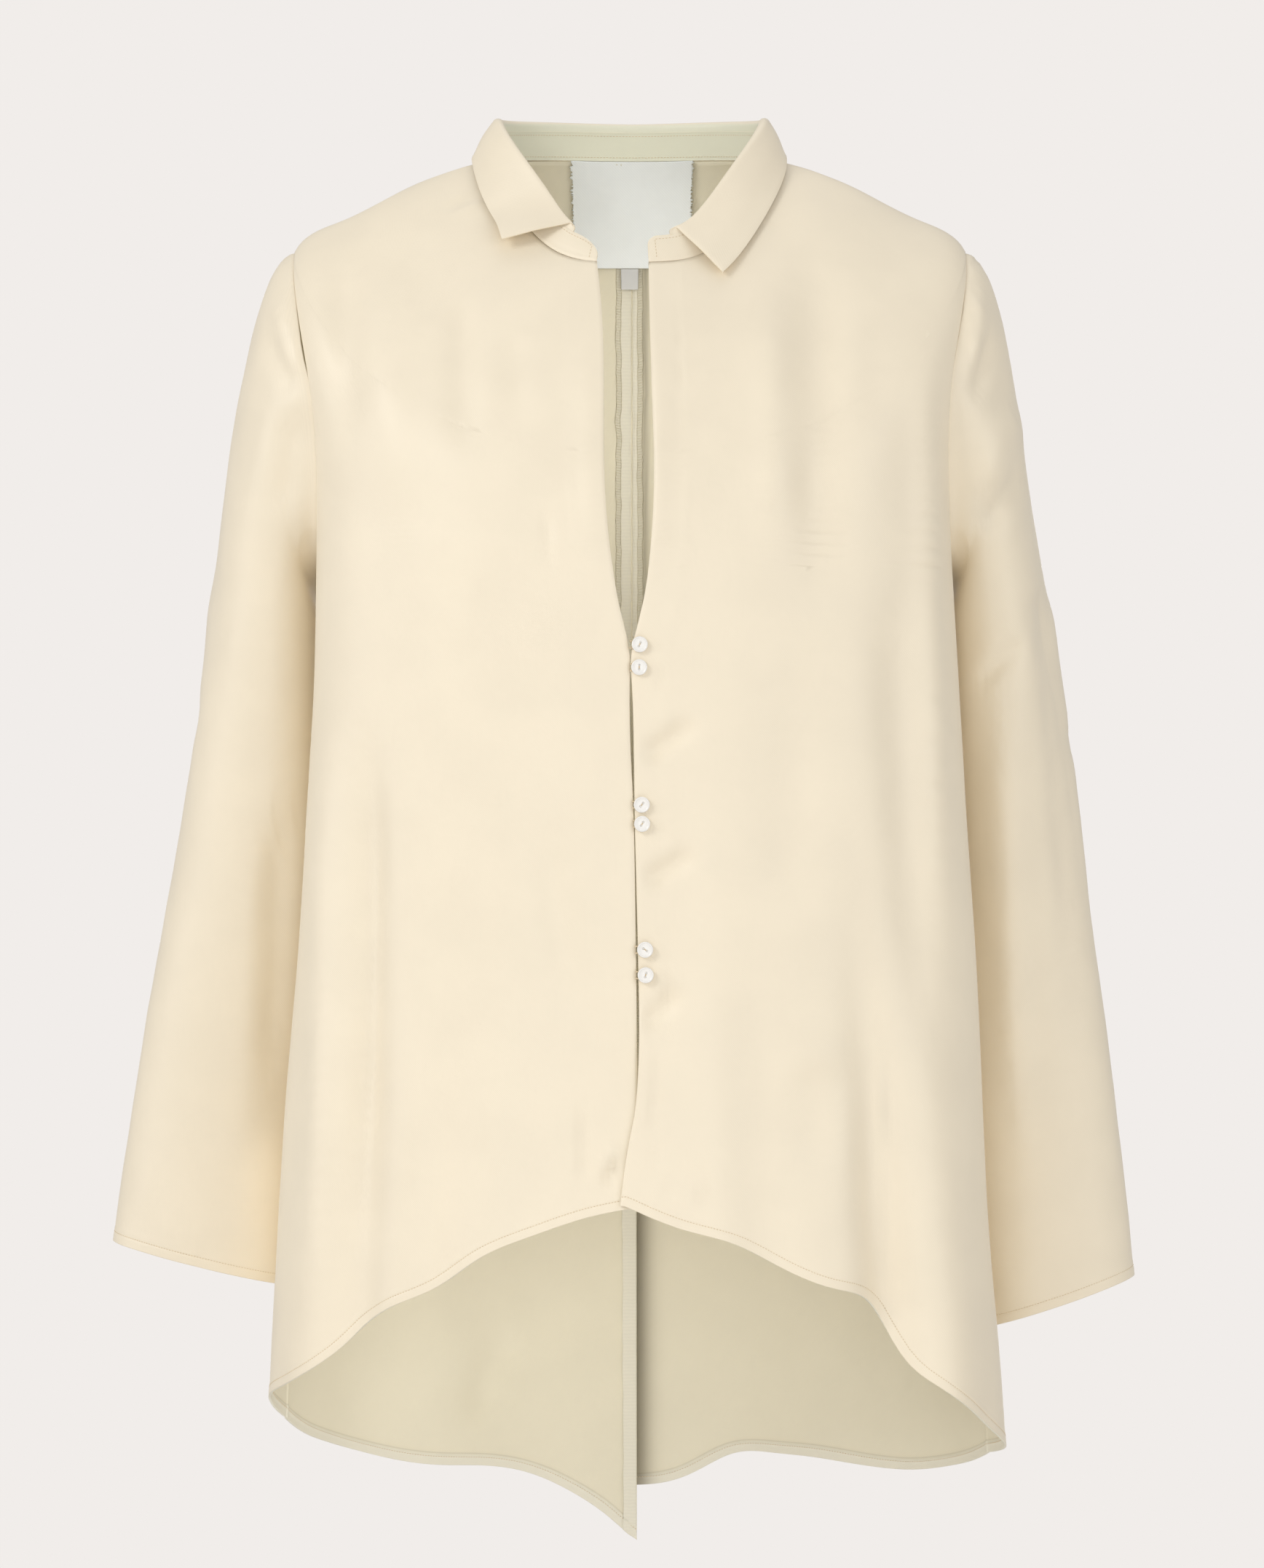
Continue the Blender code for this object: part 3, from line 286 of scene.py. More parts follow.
# Small folds of the fronts and sleeves: a soft ridge, or a trough where height is negative, along
# a bend through three places seen from the front.
Crease = namedtuple("Crease", "x0 z0 x1 z1 x2 z2 half_width height")
FRONT_CREASES = (
    # the wearer's right
    Crease(-0.0501, -0.3713, -0.0419, -0.4283, -0.0318, -0.4976, 0.0100, -0.0016),
    Crease(-0.1650, -0.0450, -0.1640, -0.1000, -0.1601, -0.1750, 0.0128, -0.0034),
    Crease(-0.1417, -0.0900, -0.1385, -0.1514, -0.1356, -0.2300, 0.0150, 0.0010),
    Crease(-0.0684, -0.1025, -0.0660, -0.1229, -0.0635, -0.1717, 0.0086, -0.0009),
    Crease(-0.0481, -0.2002, -0.0472, -0.2206, -0.0456, -0.2450, 0.0037, -0.0007),
    Crease(-0.0277, -0.0821, -0.0244, -0.1636, -0.0216, -0.2695, 0.0072, 0.0008),
    Crease(-0.0061, -0.5607, -0.0134, -0.5668, -0.0216, -0.5811, 0.0028, 0.0016),
    Crease(-0.0073, -0.5668, -0.0114, -0.5758, -0.0155, -0.5880, 0.0024, -0.0018),
    Crease(-0.0150, -0.3905, -0.0080, -0.3912, -0.0010, -0.3915, 0.0012, -0.0008),
    Crease(-0.0120, -0.2880, -0.0070, -0.2884, -0.0020, -0.2886, 0.0012, -0.0007),
    Crease(-0.0130, -0.4690, -0.0060, -0.4684, 0.0000, -0.4680, 0.0012, -0.0008),
    Crease(-0.0300, -0.5300, -0.0270, -0.5580, -0.0290, -0.5900, 0.0020, -0.0012),
    Crease(-0.1092, -0.0259, -0.0990, -0.0210, -0.0872, -0.0162, 0.0030, -0.0007),
    Crease(-0.1092, -0.0316, -0.0969, -0.0267, -0.0859, -0.0214, 0.0030, 0.0006),
    Crease(-0.1500, -0.3100, -0.1510, -0.4600, -0.1560, -0.6500, 0.0110, -0.0058),
    Crease(-0.1760, -0.3000, -0.1760, -0.4700, -0.1810, -0.6900, 0.0100, 0.0026),
    Crease(-0.0950, -0.0700, -0.0960, -0.1200, -0.0930, -0.1800, 0.0090, -0.0018),
    # the wearer's left
    Crease(0.1010, -0.0350, 0.1070, -0.1500, 0.1014, -0.2800, 0.0150, -0.0042),
    Crease(0.1014, -0.2573, 0.0900, -0.3705, 0.0831, -0.4381, 0.0171, -0.0023),
    Crease(0.1034, -0.5098, 0.1034, -0.5424, 0.1018, -0.5872, 0.0142, -0.0020),
    Crease(0.1373, -0.0740, 0.1377, -0.1147, 0.1368, -0.1636, 0.0114, -0.0008),
    Crease(0.0760, -0.0650, 0.0800, -0.1500, 0.0790, -0.2300, 0.0110, 0.0018),
    Crease(0.1470, -0.2300, 0.1556, -0.3672, 0.1690, -0.5600, 0.0150, -0.0030),
    Crease(0.1700, -0.1000, 0.1690, -0.2600, 0.1808, -0.5200, 0.0090, 0.0030),
    Crease(0.0060, -0.3450, 0.0200, -0.3350, 0.0400, -0.3200, 0.0060, -0.0028),
    Crease(0.0060, -0.4140, 0.0200, -0.4060, 0.0400, -0.3920, 0.0060, -0.0028),
    Crease(0.0050, -0.4950, 0.0160, -0.4850, 0.0320, -0.4680, 0.0055, -0.0022),
    Crease(0.0120, -0.2920, 0.0160, -0.2990, 0.0170, -0.3090, 0.0016, -0.0007),
    Crease(0.0110, -0.3790, 0.0150, -0.3860, 0.0170, -0.3930, 0.0016, -0.0007),
    Crease(0.0220, -0.4157, 0.0191, -0.4976, 0.0151, -0.5900, 0.0016, -0.0014),
    Crease(0.0130, -0.4853, 0.0122, -0.5383, 0.0102, -0.5940, 0.0014, -0.0012),
    Crease(0.0265, -0.0809, 0.0269, -0.1310, 0.0269, -0.2100, 0.0012, -0.0007),
    Crease(0.0130, -0.0809, 0.0151, -0.1636, 0.0143, -0.2450, 0.0058, 0.0010),
    Crease(0.0200, -0.5709, 0.0204, -0.5831, 0.0212, -0.5945, 0.0012, -0.0005),
    Crease(0.0379, -0.5658, 0.0383, -0.5820, 0.0395, -0.6010, 0.0014, -0.0012),
    Crease(0.1409, -0.4894, 0.1393, -0.5709, 0.1377, -0.6421, 0.0020, 0.0015),
    Crease(0.0741, -0.0377, 0.0786, -0.0365, 0.0839, -0.0349, 0.0010, -0.0006),
)
SLEEVE_CREASES = (
    # the wearer's right
    Crease(-0.2057, -0.0688, -0.1980, -0.0999, -0.1883, -0.1300, 0.0066, 0.0020),
    Crease(-0.2133, -0.0956, -0.2023, -0.1190, -0.1925, -0.1381, 0.0059, -0.0016),
    Crease(-0.1938, -0.1381, -0.1980, -0.1721, -0.1997, -0.2061, 0.0103, -0.0026),
    Crease(-0.2031, -0.3591, -0.2070, -0.4526, -0.2108, -0.5886, 0.0119, -0.0033),
    # the wearer's left
    Crease(0.2002, -0.0688, 0.1980, -0.0956, 0.1955, -0.1254, 0.0059, 0.0020),
    Crease(0.2095, -0.0922, 0.2027, -0.1169, 0.1955, -0.1441, 0.0053, -0.0023),
    Crease(0.2235, -0.1347, 0.2116, -0.1636, 0.2002, -0.1963, 0.0096, 0.0026),
    Crease(0.2333, -0.1725, 0.2167, -0.1934, 0.2002, -0.2150, 0.0073, -0.0026),
    Crease(0.2330, -0.2750, 0.2150, -0.2860, 0.1970, -0.3060, 0.0055, -0.0022),
    Crease(0.2160, -0.2850, 0.2210, -0.4200, 0.2300, -0.6100, 0.0115, 0.0042),
    Crease(0.2401, -0.2435, 0.2499, -0.3238, 0.2712, -0.5975, 0.0119, -0.0033),
)
# Folds of the hidden sides, seen from the front through the cloth.
BACK_CREASES = (
    Crease(-0.1500, -0.1000, -0.1420, -0.1700, -0.1450, -0.2400, 0.0158, -0.0029),
    Crease(-0.1150, -0.1400, -0.1080, -0.2300, -0.1120, -0.3300, 0.0175, 0.0023),
    Crease(-0.0600, -0.2600, -0.0640, -0.3700, -0.0560, -0.4800, 0.0192, -0.0026),
    Crease(-0.1650, -0.2500, -0.1500, -0.3100, -0.1300, -0.3600, 0.0123, 0.0018),
    Crease(0.1500, -0.0950, 0.1440, -0.1600, 0.1480, -0.2350, 0.0158, -0.0026),
    Crease(0.1180, -0.1500, 0.1100, -0.2400, 0.1150, -0.3500, 0.0175, 0.0023),
    Crease(0.0580, -0.2400, 0.0650, -0.3500, 0.0600, -0.4700, 0.0192, -0.0029),
    Crease(0.1680, -0.2600, 0.1520, -0.3200, 0.1350, -0.3800, 0.0123, 0.0018),
    Crease(-0.0700, -0.6900, -0.0880, -0.7200, -0.0980, -0.7550, 0.0105, 0.0026),
)
SLEEVE_BACK_CREASES = (
    Crease(-0.2080, -0.0900, -0.2130, -0.1500, -0.2080, -0.2150, 0.0096, -0.0023),
    Crease(-0.2500, -0.2300, -0.2300, -0.2900, -0.2100, -0.3250, 0.0105, 0.0023),
    Crease(-0.2650, -0.3000, -0.2400, -0.3350, -0.2050, -0.3550, 0.0088, -0.0026),
    Crease(-0.2450, -0.4000, -0.2550, -0.5000, -0.2600, -0.5900, 0.0131, -0.0023),
    Crease(0.2080, -0.0900, 0.2150, -0.1600, 0.2080, -0.2250, 0.0096, -0.0023),
    Crease(0.2500, -0.2400, 0.2280, -0.2950, 0.2080, -0.3350, 0.0105, 0.0026),
    Crease(0.2620, -0.3150, 0.2400, -0.3500, 0.2080, -0.3650, 0.0088, -0.0026),
    Crease(0.2420, -0.4200, 0.2520, -0.5200, 0.2560, -0.6100, 0.0131, -0.0023),
)

# Where extra lines of the cloth's mesh lie, in metres from an edge or seam.
SEAM_LINES = (0.0004, 0.0010, 0.0018, 0.0030, 0.0050)
HEM_LINES = (0.0005, 0.0014, 0.0028, 0.0040, 0.0046, 0.0051, 0.0056, 0.0062, 0.0074, 0.0095)
HEM_STITCH = 0.0051  # how far the hem's row of stitches is from its edge
HEM_TURN = 0.0066  # width of the turned-up hem
HEM_ROWS = 40  # rows of a mesh, from its hem, that its stitches are looked for in
SHELL = 0.0006  # the cloth's own thickness
HEM_LAYERS = 2.2  # thickness of a folded hem, as a share of the cloth's
HEM_BLEND = 0.04  # over this length beside the side seam, front and back hem come to one height
HEM_STRETCH = 2.2  # most that a slanting hem's lines are spread apart in height
DITCH_DEPTH, DITCH_WIDTH = 0.0009, 0.0011  # how far, and over what width, a seam is sunk
VENT_CURL = 0.0030  # how far the right back's edge stands forward of the left back
CLOSED_TOP, CLOSED_BOTTOM = -0.27, -0.50  # heights between which the buttons close the fronts
GAP_CLOSED = 0.0004  # how much nearer the fronts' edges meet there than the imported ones
FACING = 0.0190  # the front facing's width, which shows through as a faint ridge
PANEL_WIDTH = 0.33  # about how wide a panel is, for the lines beside its seams
ARMHOLE_TURNS = np.concatenate([np.linspace(180, 120, 26), np.linspace(120, 0, 45)[1:]])
YOKE_RINGS = np.linspace(SHOULDER, 0, 37)[1:]
SKIRT_ROWS = 96
SLEEVE_TURNS = 176
CAP_LINES = (0, 0.004, 0.008, 0.014, 0.022, 0.034, 0.05, 0.07, 0.095)  # shares of a cap's height
SEAM_SINK = 0.0018  # how far a sleeve falls back beside the lower half of the armhole seam
CUFF_STITCH, CUFF_TURN = 0.0058, 0.0085
LABEL_CLEAR = SHELL + 0.0030  # how far the label's top is in front of the back's outer face


# Curves through tables ----------------------------------------------------------------------
def spline(keys, values, at):
    """A natural cubic curve through (keys, values), read at any keys."""
    keys, values = np.asarray(keys, float), np.asarray(values, float)
    gaps, rises = np.diff(keys), np.diff(values)
    count = len(keys)
    matrix, right = np.eye(count), np.zeros(count)
    for i in range(1, count - 1):
        matrix[i, i - 1 : i + 2] = gaps[i - 1], 2 * (gaps[i - 1] + gaps[i]), gaps[i]
        right[i] = 6 * (rises[i] / gaps[i] - rises[i - 1] / gaps[i - 1])
    bend = np.linalg.solve(matrix, right)
    at = np.clip(np.asarray(at, float), keys[0], keys[-1])
    i = np.clip(np.searchsorted(keys, at) - 1, 0, count - 2)
    low, high, gap = at - keys[i], keys[i + 1] - at, gaps[i]
    cubic = (bend[i] * high**3 + bend[i + 1] * low**3) / (6 * gap)
    ends = (values[i] / gap - bend[i] * gap / 6) * high
    return cubic + ends + (values[i + 1] / gap - bend[i + 1] * gap / 6) * low


def column(table, name):
    return [getattr(row, name) for row in table]


def read(table, key, name, at):
    return spline(column(table, key), column(table, name), at)


def read_line(at, keys, line):
    """Points on a line of points, where its keys have the wanted values."""
    return np.stack([np.interp(at, keys, line[:, axis]) for axis in range(3)], axis=-1)


def edge_x(side, height):
    """How far across a front's edge is, at a height."""
    return read(FRONT_EDGES[::-1], "height", f"{SIDE_NAMES[side]}_x", height)


def smooth_step(t):
    t = np.clip(t, 0, 1)
    return t * t * (3 - 2 * t)


def bell(distance, width):
    """1 at no distance, falling smoothly away on either side."""
    return np.exp(-((distance / width) ** 2))


def unit(vectors):
    return vectors / np.linalg.norm(vectors, axis=-1, keepdims=True)


def bilinear(rows, columns, table, row, column):
    """Reads an evenly spaced table between its entries."""
    row, column = np.broadcast_arrays(np.asarray(row, float), column)
    i = np.clip((row - rows[0]) / (rows[1] - rows[0]), 0, len(rows) - 1.001)
    j = np.clip((column - columns[0]) / (columns[1] - columns[0]), 0, len(columns) - 1.001)
    low_i, low_j = i.astype(int), j.astype(int)
    s, t = i - low_i, j - low_j
    near = table[low_i, low_j] * (1 - t) + table[low_i, low_j + 1] * t
    far = table[low_i + 1, low_j] * (1 - t) + table[low_i + 1, low_j + 1] * t
    return near * (1 - s) + far * s


# The torso surface --------------------------------------------------------------------------
def section(ring, name):
    return spline(range(len(SECTIONS)), column(SECTIONS, name), ring)


def ring_point(ring, angle, side):
    """Points on the plain torso: angle is in degrees from the centre front, round one side."""
    width = section(ring, "right_width" if side == RIGHT else "left_width")
    turn = np.radians(angle)
    sine, cosine = np.sin(turn), np.cos(turn)
    front = cosine > 0
    square = np.where(front, section(ring, "front_square"), section(ring, "back_square"))
    side_y, side_z = section(ring, "side_y"), section(ring, "side_z")
    end_y = np.where(front, section(ring, "front_y"), section(ring, "back_y"))
    end_z = np.where(front, section(ring, "front_z"), section(ring, "back_z"))
    x = side * width * np.sign(sine) * np.abs(sine) ** (2 / square)
    y = side_y + (end_y - side_y) * np.abs(cosine) ** (2 / square)
    reach = np.abs(cosine)
    inner = NECK_DROOP * np.clip(1 - np.asarray(ring) / NECK_DROOP_RINGS, 0, 1)
    z = side_z + (end_z - side_z) * (reach**DROOP_POWER + inner * reach**4 * (1 - reach))
    return np.stack(np.broadcast_arrays(x, y, z), axis=-1)


class Half:
    """One side of the torso, with tables that change places round it into angles and back."""

    def __init__(self, side):
        self.side = side
        self.name = SIDE_NAMES[side]
        self.rings = np.linspace(0, len(SECTIONS) - 1, 451)
        self.angles = np.linspace(-OVERLAP_ANGLE, 180 + OVERLAP_ANGLE, 231)
        self.points = ring_point(self.rings[:, None], self.angles, side)
        steps = np.linalg.norm(np.diff(self.points, axis=1), axis=-1)
        lengths = np.pad(np.cumsum(steps, axis=1), ((0, 0), (1, 0)))
        lengths -= [[np.interp(0, self.angles, row)] for row in lengths]
        self.lengths = lengths
        self.halves = np.array([np.interp(180, self.angles, row) for row in lengths])
        self.arounds = np.linspace(-0.12, 1.12, 621)
        pairs = zip(self.halves, lengths)
        self.turns = np.array([np.interp(self.arounds * h, row, self.angles) for h, row in pairs])
        self.places = lengths / self.halves[:, None]

    def angle(self, ring, around):
        return bilinear(self.rings, self.arounds, self.turns, ring, around)

    def around(self, ring, angle):
        return bilinear(self.rings, self.angles, self.places, ring, angle)

    def length(self, ring):
        return np.interp(ring, self.rings, self.halves)

    def around_at_x(self, ring, x, back=False):
        """The place on each ring, near the centre front or back, that lies at a given x."""
        ring, x = np.broadcast_arrays(np.asarray(ring, float), x)
        near = self.angles > 125 if back else self.angles < 55
        order = slice(None, None, -1) if back else slice(None)
        rows = ring_point(ring.ravel()[:, None], self.angles[near], self.side)[..., 0]
        wants = x.ravel() * self.side
        angles = [np.interp(want, row[order] * self.side, self.angles[near][order])
                  for want, row in zip(wants, rows)]
        return self.around(ring, np.array(angles).reshape(ring.shape))

    def plain(self, ring, around):
        return ring_point(ring, self.angle(ring, around), self.side)

    def out_of(self, surface, ring, around):
        """Outward unit normals of a surface, from small steps both ways."""
        last = len(SECTIONS) - 1
        up, down = np.clip(ring - RING_STEP, 0, last), np.clip(ring + RING_STEP, 0, last)
        along = surface(ring, around + STEP) - surface(ring, around - STEP)
        across = surface(down, around) - surface(up, around)
        return self.side * unit(np.cross(across, along))

    def relief(self, ring, around, height):
        """How far the large folds, the front lap and the vent move the cloth outwards."""
        moved = np.zeros(np.shape(around))
        for fold in FOLDS:
            if fold.side != self.side:
                continue
            grown = smooth_step((fold.top_z - height) / (fold.top_z - fold.full_z))
            middle = fold.around_top + (fold.around_hem - fold.around_top) * grown
            shape = bell(around - middle, fold.half_width)
            moved = moved + FOLD_SHARE * fold.height * grown * shape
        length = self.length(ring)
        if self.side == RIGHT:
            tucked = smooth_step((LAP_TOP - height) / LAP_LENGTH)
            near = smooth_step(1 - around * length / LAP_REACH)
            return moved - LAP_DEPTH * tucked * near
        lifted = smooth_step((VENT_TOP + VENT_EASE - height) / VENT_EASE)
        near = smooth_step(1 - (1 - around) * length / VENT_REACH)
        return moved + VENT_LIFT * lifted * near

    def torso(self, ring, around):
        """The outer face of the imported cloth, and the plain torso's outward normals there."""
        ring, around = np.broadcast_arrays(np.asarray(ring, float), around)
        plain, out = self.plain(ring, around), self.out_of(self.plain, ring, around)
        return plain + out * self.relief(ring, around, plain[..., 2])[..., None], out

    def outer(self, ring, around):
        return self.torso(ring, around)[0]

    def torso_out(self, ring, around):
        """The folded torso's outward normals."""
        return self.out_of(self.outer, ring, around)


HALVES = {RIGHT: Half(RIGHT), LEFT: Half(LEFT)}


def ring_at_height(height):
    """Ring numbers of heights at and below the underarm, where the rings are level."""
    rings = np.linspace(UNDERARM, len(SECTIONS) - 1, 400)
    return np.interp(-np.asarray(height), -section(rings, "side_z"), rings)


def crease_relief(points, creases):
    """How far small folds raise points, by how near each passes as seen from the front."""
    flat = points.reshape(-1, 3)[:, [0, 2]]
    moved = np.zeros(len(flat))
    for crease in creases:
        a, b, c = np.array(crease[:6]).reshape(3, 2)
        reach = crease.half_width * 3.5
        low = np.min([a, b, c], axis=0) - reach
        high = np.max([a, b, c], axis=0) + reach
        close = np.nonzero(((flat > low) & (flat < high)).all(axis=1))[0]
        if not len(close):
            continue
        t = np.linspace(0, 1, BEND_STEPS + 1)[:, None]
        path = (1 - t) * (1 - 2 * t) * a + 4 * t * (1 - t) * b + t * (2 * t - 1) * c
        gaps = np.linalg.norm(flat[close][:, None] - path[None], axis=-1)
        nearest = gaps.argmin(axis=1)
        along = nearest / BEND_STEPS
        fade = smooth_step(along / 0.35) * smooth_step((1 - along) / 0.35)
        narrow = bell(gaps.min(axis=1), crease.half_width)
        moved[close] += CREASE_DEPTH * crease.height * narrow * fade
    return moved.reshape(points.shape[:-1])


def ripple(points, scale, stretch, seed):
    """Gentle unevenness from -1 to 1, longer in height than across by stretch."""
    shift = Vector((seed * 7.3, seed * 1.9, seed * 3.1))
    flat = points.reshape(-1, 3) / scale
    flat[:, 2] /= stretch
    values = [noise.noise(Vector(p) + shift) for p in flat]
    return np.array(values).reshape(points.shape[:-1])


def grid_out(points, like):
    """Unit normals of a grid of points, turned to the side that like is on."""
    along = np.gradient(points, axis=1)
    across = np.gradient(points, axis=0)
    out = np.cross(across, along)
    out /= np.maximum(np.linalg.norm(out, axis=-1, keepdims=True), 1e-12)
    return out * np.where(np.sum(out * like, axis=-1, keepdims=True) < 0, -1, 1)


def run_lengths(points, axis):
    """Lengths along a grid from its first row or column."""
    steps = np.linalg.norm(np.diff(points, axis=axis), axis=-1)
    first = np.zeros_like(steps.take([0], axis=axis))
    return np.concatenate([first, np.cumsum(steps, axis=axis)], axis=axis)


def even_with_lines(count, lines):
    """Shares from 0 to 1: even ones, but lines at given shares from each end."""
    even = np.linspace(0, 1, count + 1)
    low, high = max(lines), 1 - max(lines)
    even = even[(even > low + 0.4 / count) & (even < high - 0.4 / count)]
    return np.unique(np.concatenate([[0, 1], lines, 1 - np.array(lines), even]))


# Meshes and pieces --------------------------------------------------------------------------
def cloth_grid(points, out, uv, layers, closed=False):
    """A bmesh grid moved onto points[row][column], with its uv map and named distances."""
    rows, columns = points.shape[:2]
    bm = bmesh.new()
    bmesh.ops.create_grid(bm, x_segments=columns - 1, y_segments=rows - 1, size=1)
    bm.verts.ensure_lookup_table()
    spots = np.array([v.co for v in bm.verts]).round(6)
    order = np.lexsort((spots[:, 0], spots[:, 1]))
    flat, flat_uv = points.reshape(-1, 3), uv.reshape(-1, 2)
    named = [(bm.verts.layers.float.new(name), v.ravel()) for name, v in layers.items()]
    for place, number in enumerate(order):
        vert = bm.verts[number]
        vert.co = flat[place]
        vert.index = place
        for layer, values in named:
            vert[layer] = values[place]
    map_layer = bm.loops.layers.uv.new("cloth")
    for face in bm.faces:
        for loop in face.loops:
            loop[map_layer].uv = flat_uv[loop.vert.index]
    bm.normal_update()
    flat_out = out.reshape(-1, 3)
    agree = sum(np.sign(np.dot(face.normal, flat_out[face.verts[0].index])) for face in bm.faces)
    if agree < 0:
        bmesh.ops.reverse_faces(bm, faces=bm.faces)
    if closed:
        bmesh.ops.remove_doubles(bm, verts=bm.verts, dist=WELD)
    return bm


def place_piece(name, shape, finishes, packed=True):
    """A mesh or curve that rides on the shirt's one body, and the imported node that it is."""
    for finish in finishes:
        shape.materials.append(finish_of(finish))
    piece = bpy.data.objects.new(name, shape)
    bpy.context.scene.collection.objects.link(piece)
    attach(piece, "root")
    if packed:
        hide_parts(name)
    return piece


def add_piece(name, bm, finishes, packed=True):
    """A piece from a finished bmesh."""
    mesh = bpy.data.meshes.new(name)
    bm.to_mesh(mesh)
    bm.free()
    mesh.shade_smooth()
    return place_piece(name, mesh, finishes, packed)


def give_thickness(piece, thickness, rim=1, folded=None):
    """A shell inwards from the outer face, thicker where its hems are folded."""
    shell = piece.modifiers.new("cloth", "SOLIDIFY")
    shell.thickness = thickness
    shell.offset = -1
    shell.use_rim = True
    shell.material_offset = 1
    shell.material_offset_rim = rim
    if folded is not None:
        group = piece.vertex_groups.new(name="folded")
        for number, share in enumerate(folded):
            group.add([number], float(share), "REPLACE")
        shell.vertex_group = "folded"
        shell.thickness_vertex_group = 1 / HEM_LAYERS
        shell.thickness = thickness * HEM_LAYERS


def stitch_places(points, outs, pitch):
    """Evenly spaced (spot, way along, way out) on a path, about one pitch apart."""
    along = run_lengths(points, 0)
    count = max(1, int(along[-1] / pitch))
    at = (np.arange(count) + 0.5) * along[-1] / count
    ahead = read_line(at + pitch * 0.4, along, points)
    behind = read_line(at - pitch * 0.4, along, points)
    return zip(read_line(at, along, points), ahead - behind, read_line(at, along, outs))


def add_threads(bm, places, length, width, lift=0.0):
    """Little rounded threads at (spot, way along, way out), a few dozen in a mesh at a time."""
    places = list(places)
    batch = bpy.data.meshes.new("batch")
    for first in range(0, len(places), THREAD_BATCH):
        few = bmesh.new()
        for spot, along, out in places[first : first + THREAD_BATCH]:
            out = Vector(out).normalized()
            across = out.cross(Vector(along)).normalized()
            turn = Matrix((across.cross(out), across, out)).transposed().to_4x4()
            size = Matrix.Diagonal((length / 2, width / 2, width / 2, 1))
            move = Matrix.Translation(Vector(spot) + out * (lift + width * 0.15))
            bmesh.ops.create_uvsphere(
                few, u_segments=6, v_segments=4, radius=1, matrix=move @ turn @ size
            )
        few.to_mesh(batch)
        few.free()
        bm.from_mesh(batch)
    bpy.data.meshes.remove(batch)


def add_stitches(name, lines, pitch, length, width):
    """One piece of sewing thread from several rows of (points, outward normals)."""
    bm = bmesh.new()
    for points, outs in lines:
        add_threads(bm, stitch_places(points, outs, pitch), length, width)
    return add_piece(name, bm, ["sewing_thread"], packed=False)


# Panels -------------------------------------------------------------------------------------
def armhole_ring(turn):
    share = (1 - np.cos(np.radians(turn))) / 2
    return SHOULDER + (UNDERARM - SHOULDER) * share


def armhole_edge(half, turn, name):
    return half.around(armhole_ring(turn), read(ARMHOLE, "turn", name, turn))


def front_edge(half, ring):
    height = ring_point(ring, 0.0, half.side)[..., 2]
    height = np.clip(height, FRONT_EDGES[-1].height, FRONT_EDGES[0].height)
    x = edge_x(half.side, height)
    closed = smooth_step((CLOSED_TOP - height) / 0.02)
    closed = closed * smooth_step((height - CLOSED_BOTTOM) / 0.04)
    return half.around_at_x(ring, x - half.side * GAP_CLOSED * closed)


def back_edge(half, ring):
    height = ring_point(ring, 180.0, half.side)[..., 2]
    if half.side == RIGHT:
        x, fade = VENT_RIGHT_X, 0.02
    else:
        x, fade = -VENT_UNDERLAP, 0.05
    opened = smooth_step((VENT_TOP - height) / fade)
    vent = half.around_at_x(ring, x * opened, back=True)
    return np.where(height > VENT_TOP, 1.0, vent)


def side_seam(half, ring):
    return half.around(ring, read(SIDE_SEAM, "ring", "angle", ring))


Panel = namedtuple("Panel", "hem centre_edge armhole creases")
FRONT_PANEL = Panel(FRONT_HEM, front_edge, "front_angle", FRONT_CREASES)
BACK_PANEL = Panel(BACK_HEM, back_edge, "back_angle", BACK_CREASES)


def outer_edge(half, armhole):
    """Ring numbers and places up a panel's outer side: the armhole, then the shoulder seam."""
    sleeve_side = armhole_edge(half, ARMHOLE_TURNS, armhole)
    shoulder = half.around(YOKE_RINGS, read(SHOULDER_SEAM, "ring", "angle", YOKE_RINGS))
    rings = np.concatenate([armhole_ring(ARMHOLE_TURNS), YOKE_RINGS])
    return rings, np.concatenate([sleeve_side, shoulder])


def panel_places(half, panel, shares):
    """Ring numbers and places of a panel's points, its hem's heights and how they slant."""
    low = np.array(float(HEM_RING))
    centre, seam = panel.centre_edge(half, low), side_seam(half, low)
    places = centre + (seam - centre) * shares
    name = f"{half.name}_z"
    hem_z = read(panel.hem, "around", name, places)
    across = half.length(low) * (places - places[0])
    meeting = [read(hem, "around", name, places[-1:]) for hem in (FRONT_HEM, BACK_HEM)]
    near_side = smooth_step(1 - np.abs(across[-1] - across) / HEM_BLEND)
    hem_z = hem_z + (np.mean(meeting) - hem_z[-1]) * near_side
    slope = np.gradient(hem_z) / np.gradient(across)
    stretch = np.minimum(np.sqrt(1 + slope**2), HEM_STRETCH)
    near = np.array((0.0,) + HEM_LINES)[:, None] * stretch
    top = section(UNDERARM, "side_z")
    rise = np.linspace(0, 1, SKIRT_ROWS + 1)[1:, None]
    upper = hem_z + near[-1] + (top - hem_z - near[-1]) * rise
    skirt = ring_at_height(np.concatenate([hem_z + near, upper]))
    edge_rings, edge_places = outer_edge(half, panel.armhole)
    upper_rings = np.repeat(edge_rings[1:, None], len(shares), axis=1)
    ring = np.concatenate([skirt, upper_rings])
    outer = np.concatenate([side_seam(half, skirt[:, -1]), edge_places[1:]])
    centre = panel.centre_edge(half, ring[:, 0])
    around = centre[:, None] + (outer - centre)[:, None] * shares
    return ring, around, hem_z, stretch


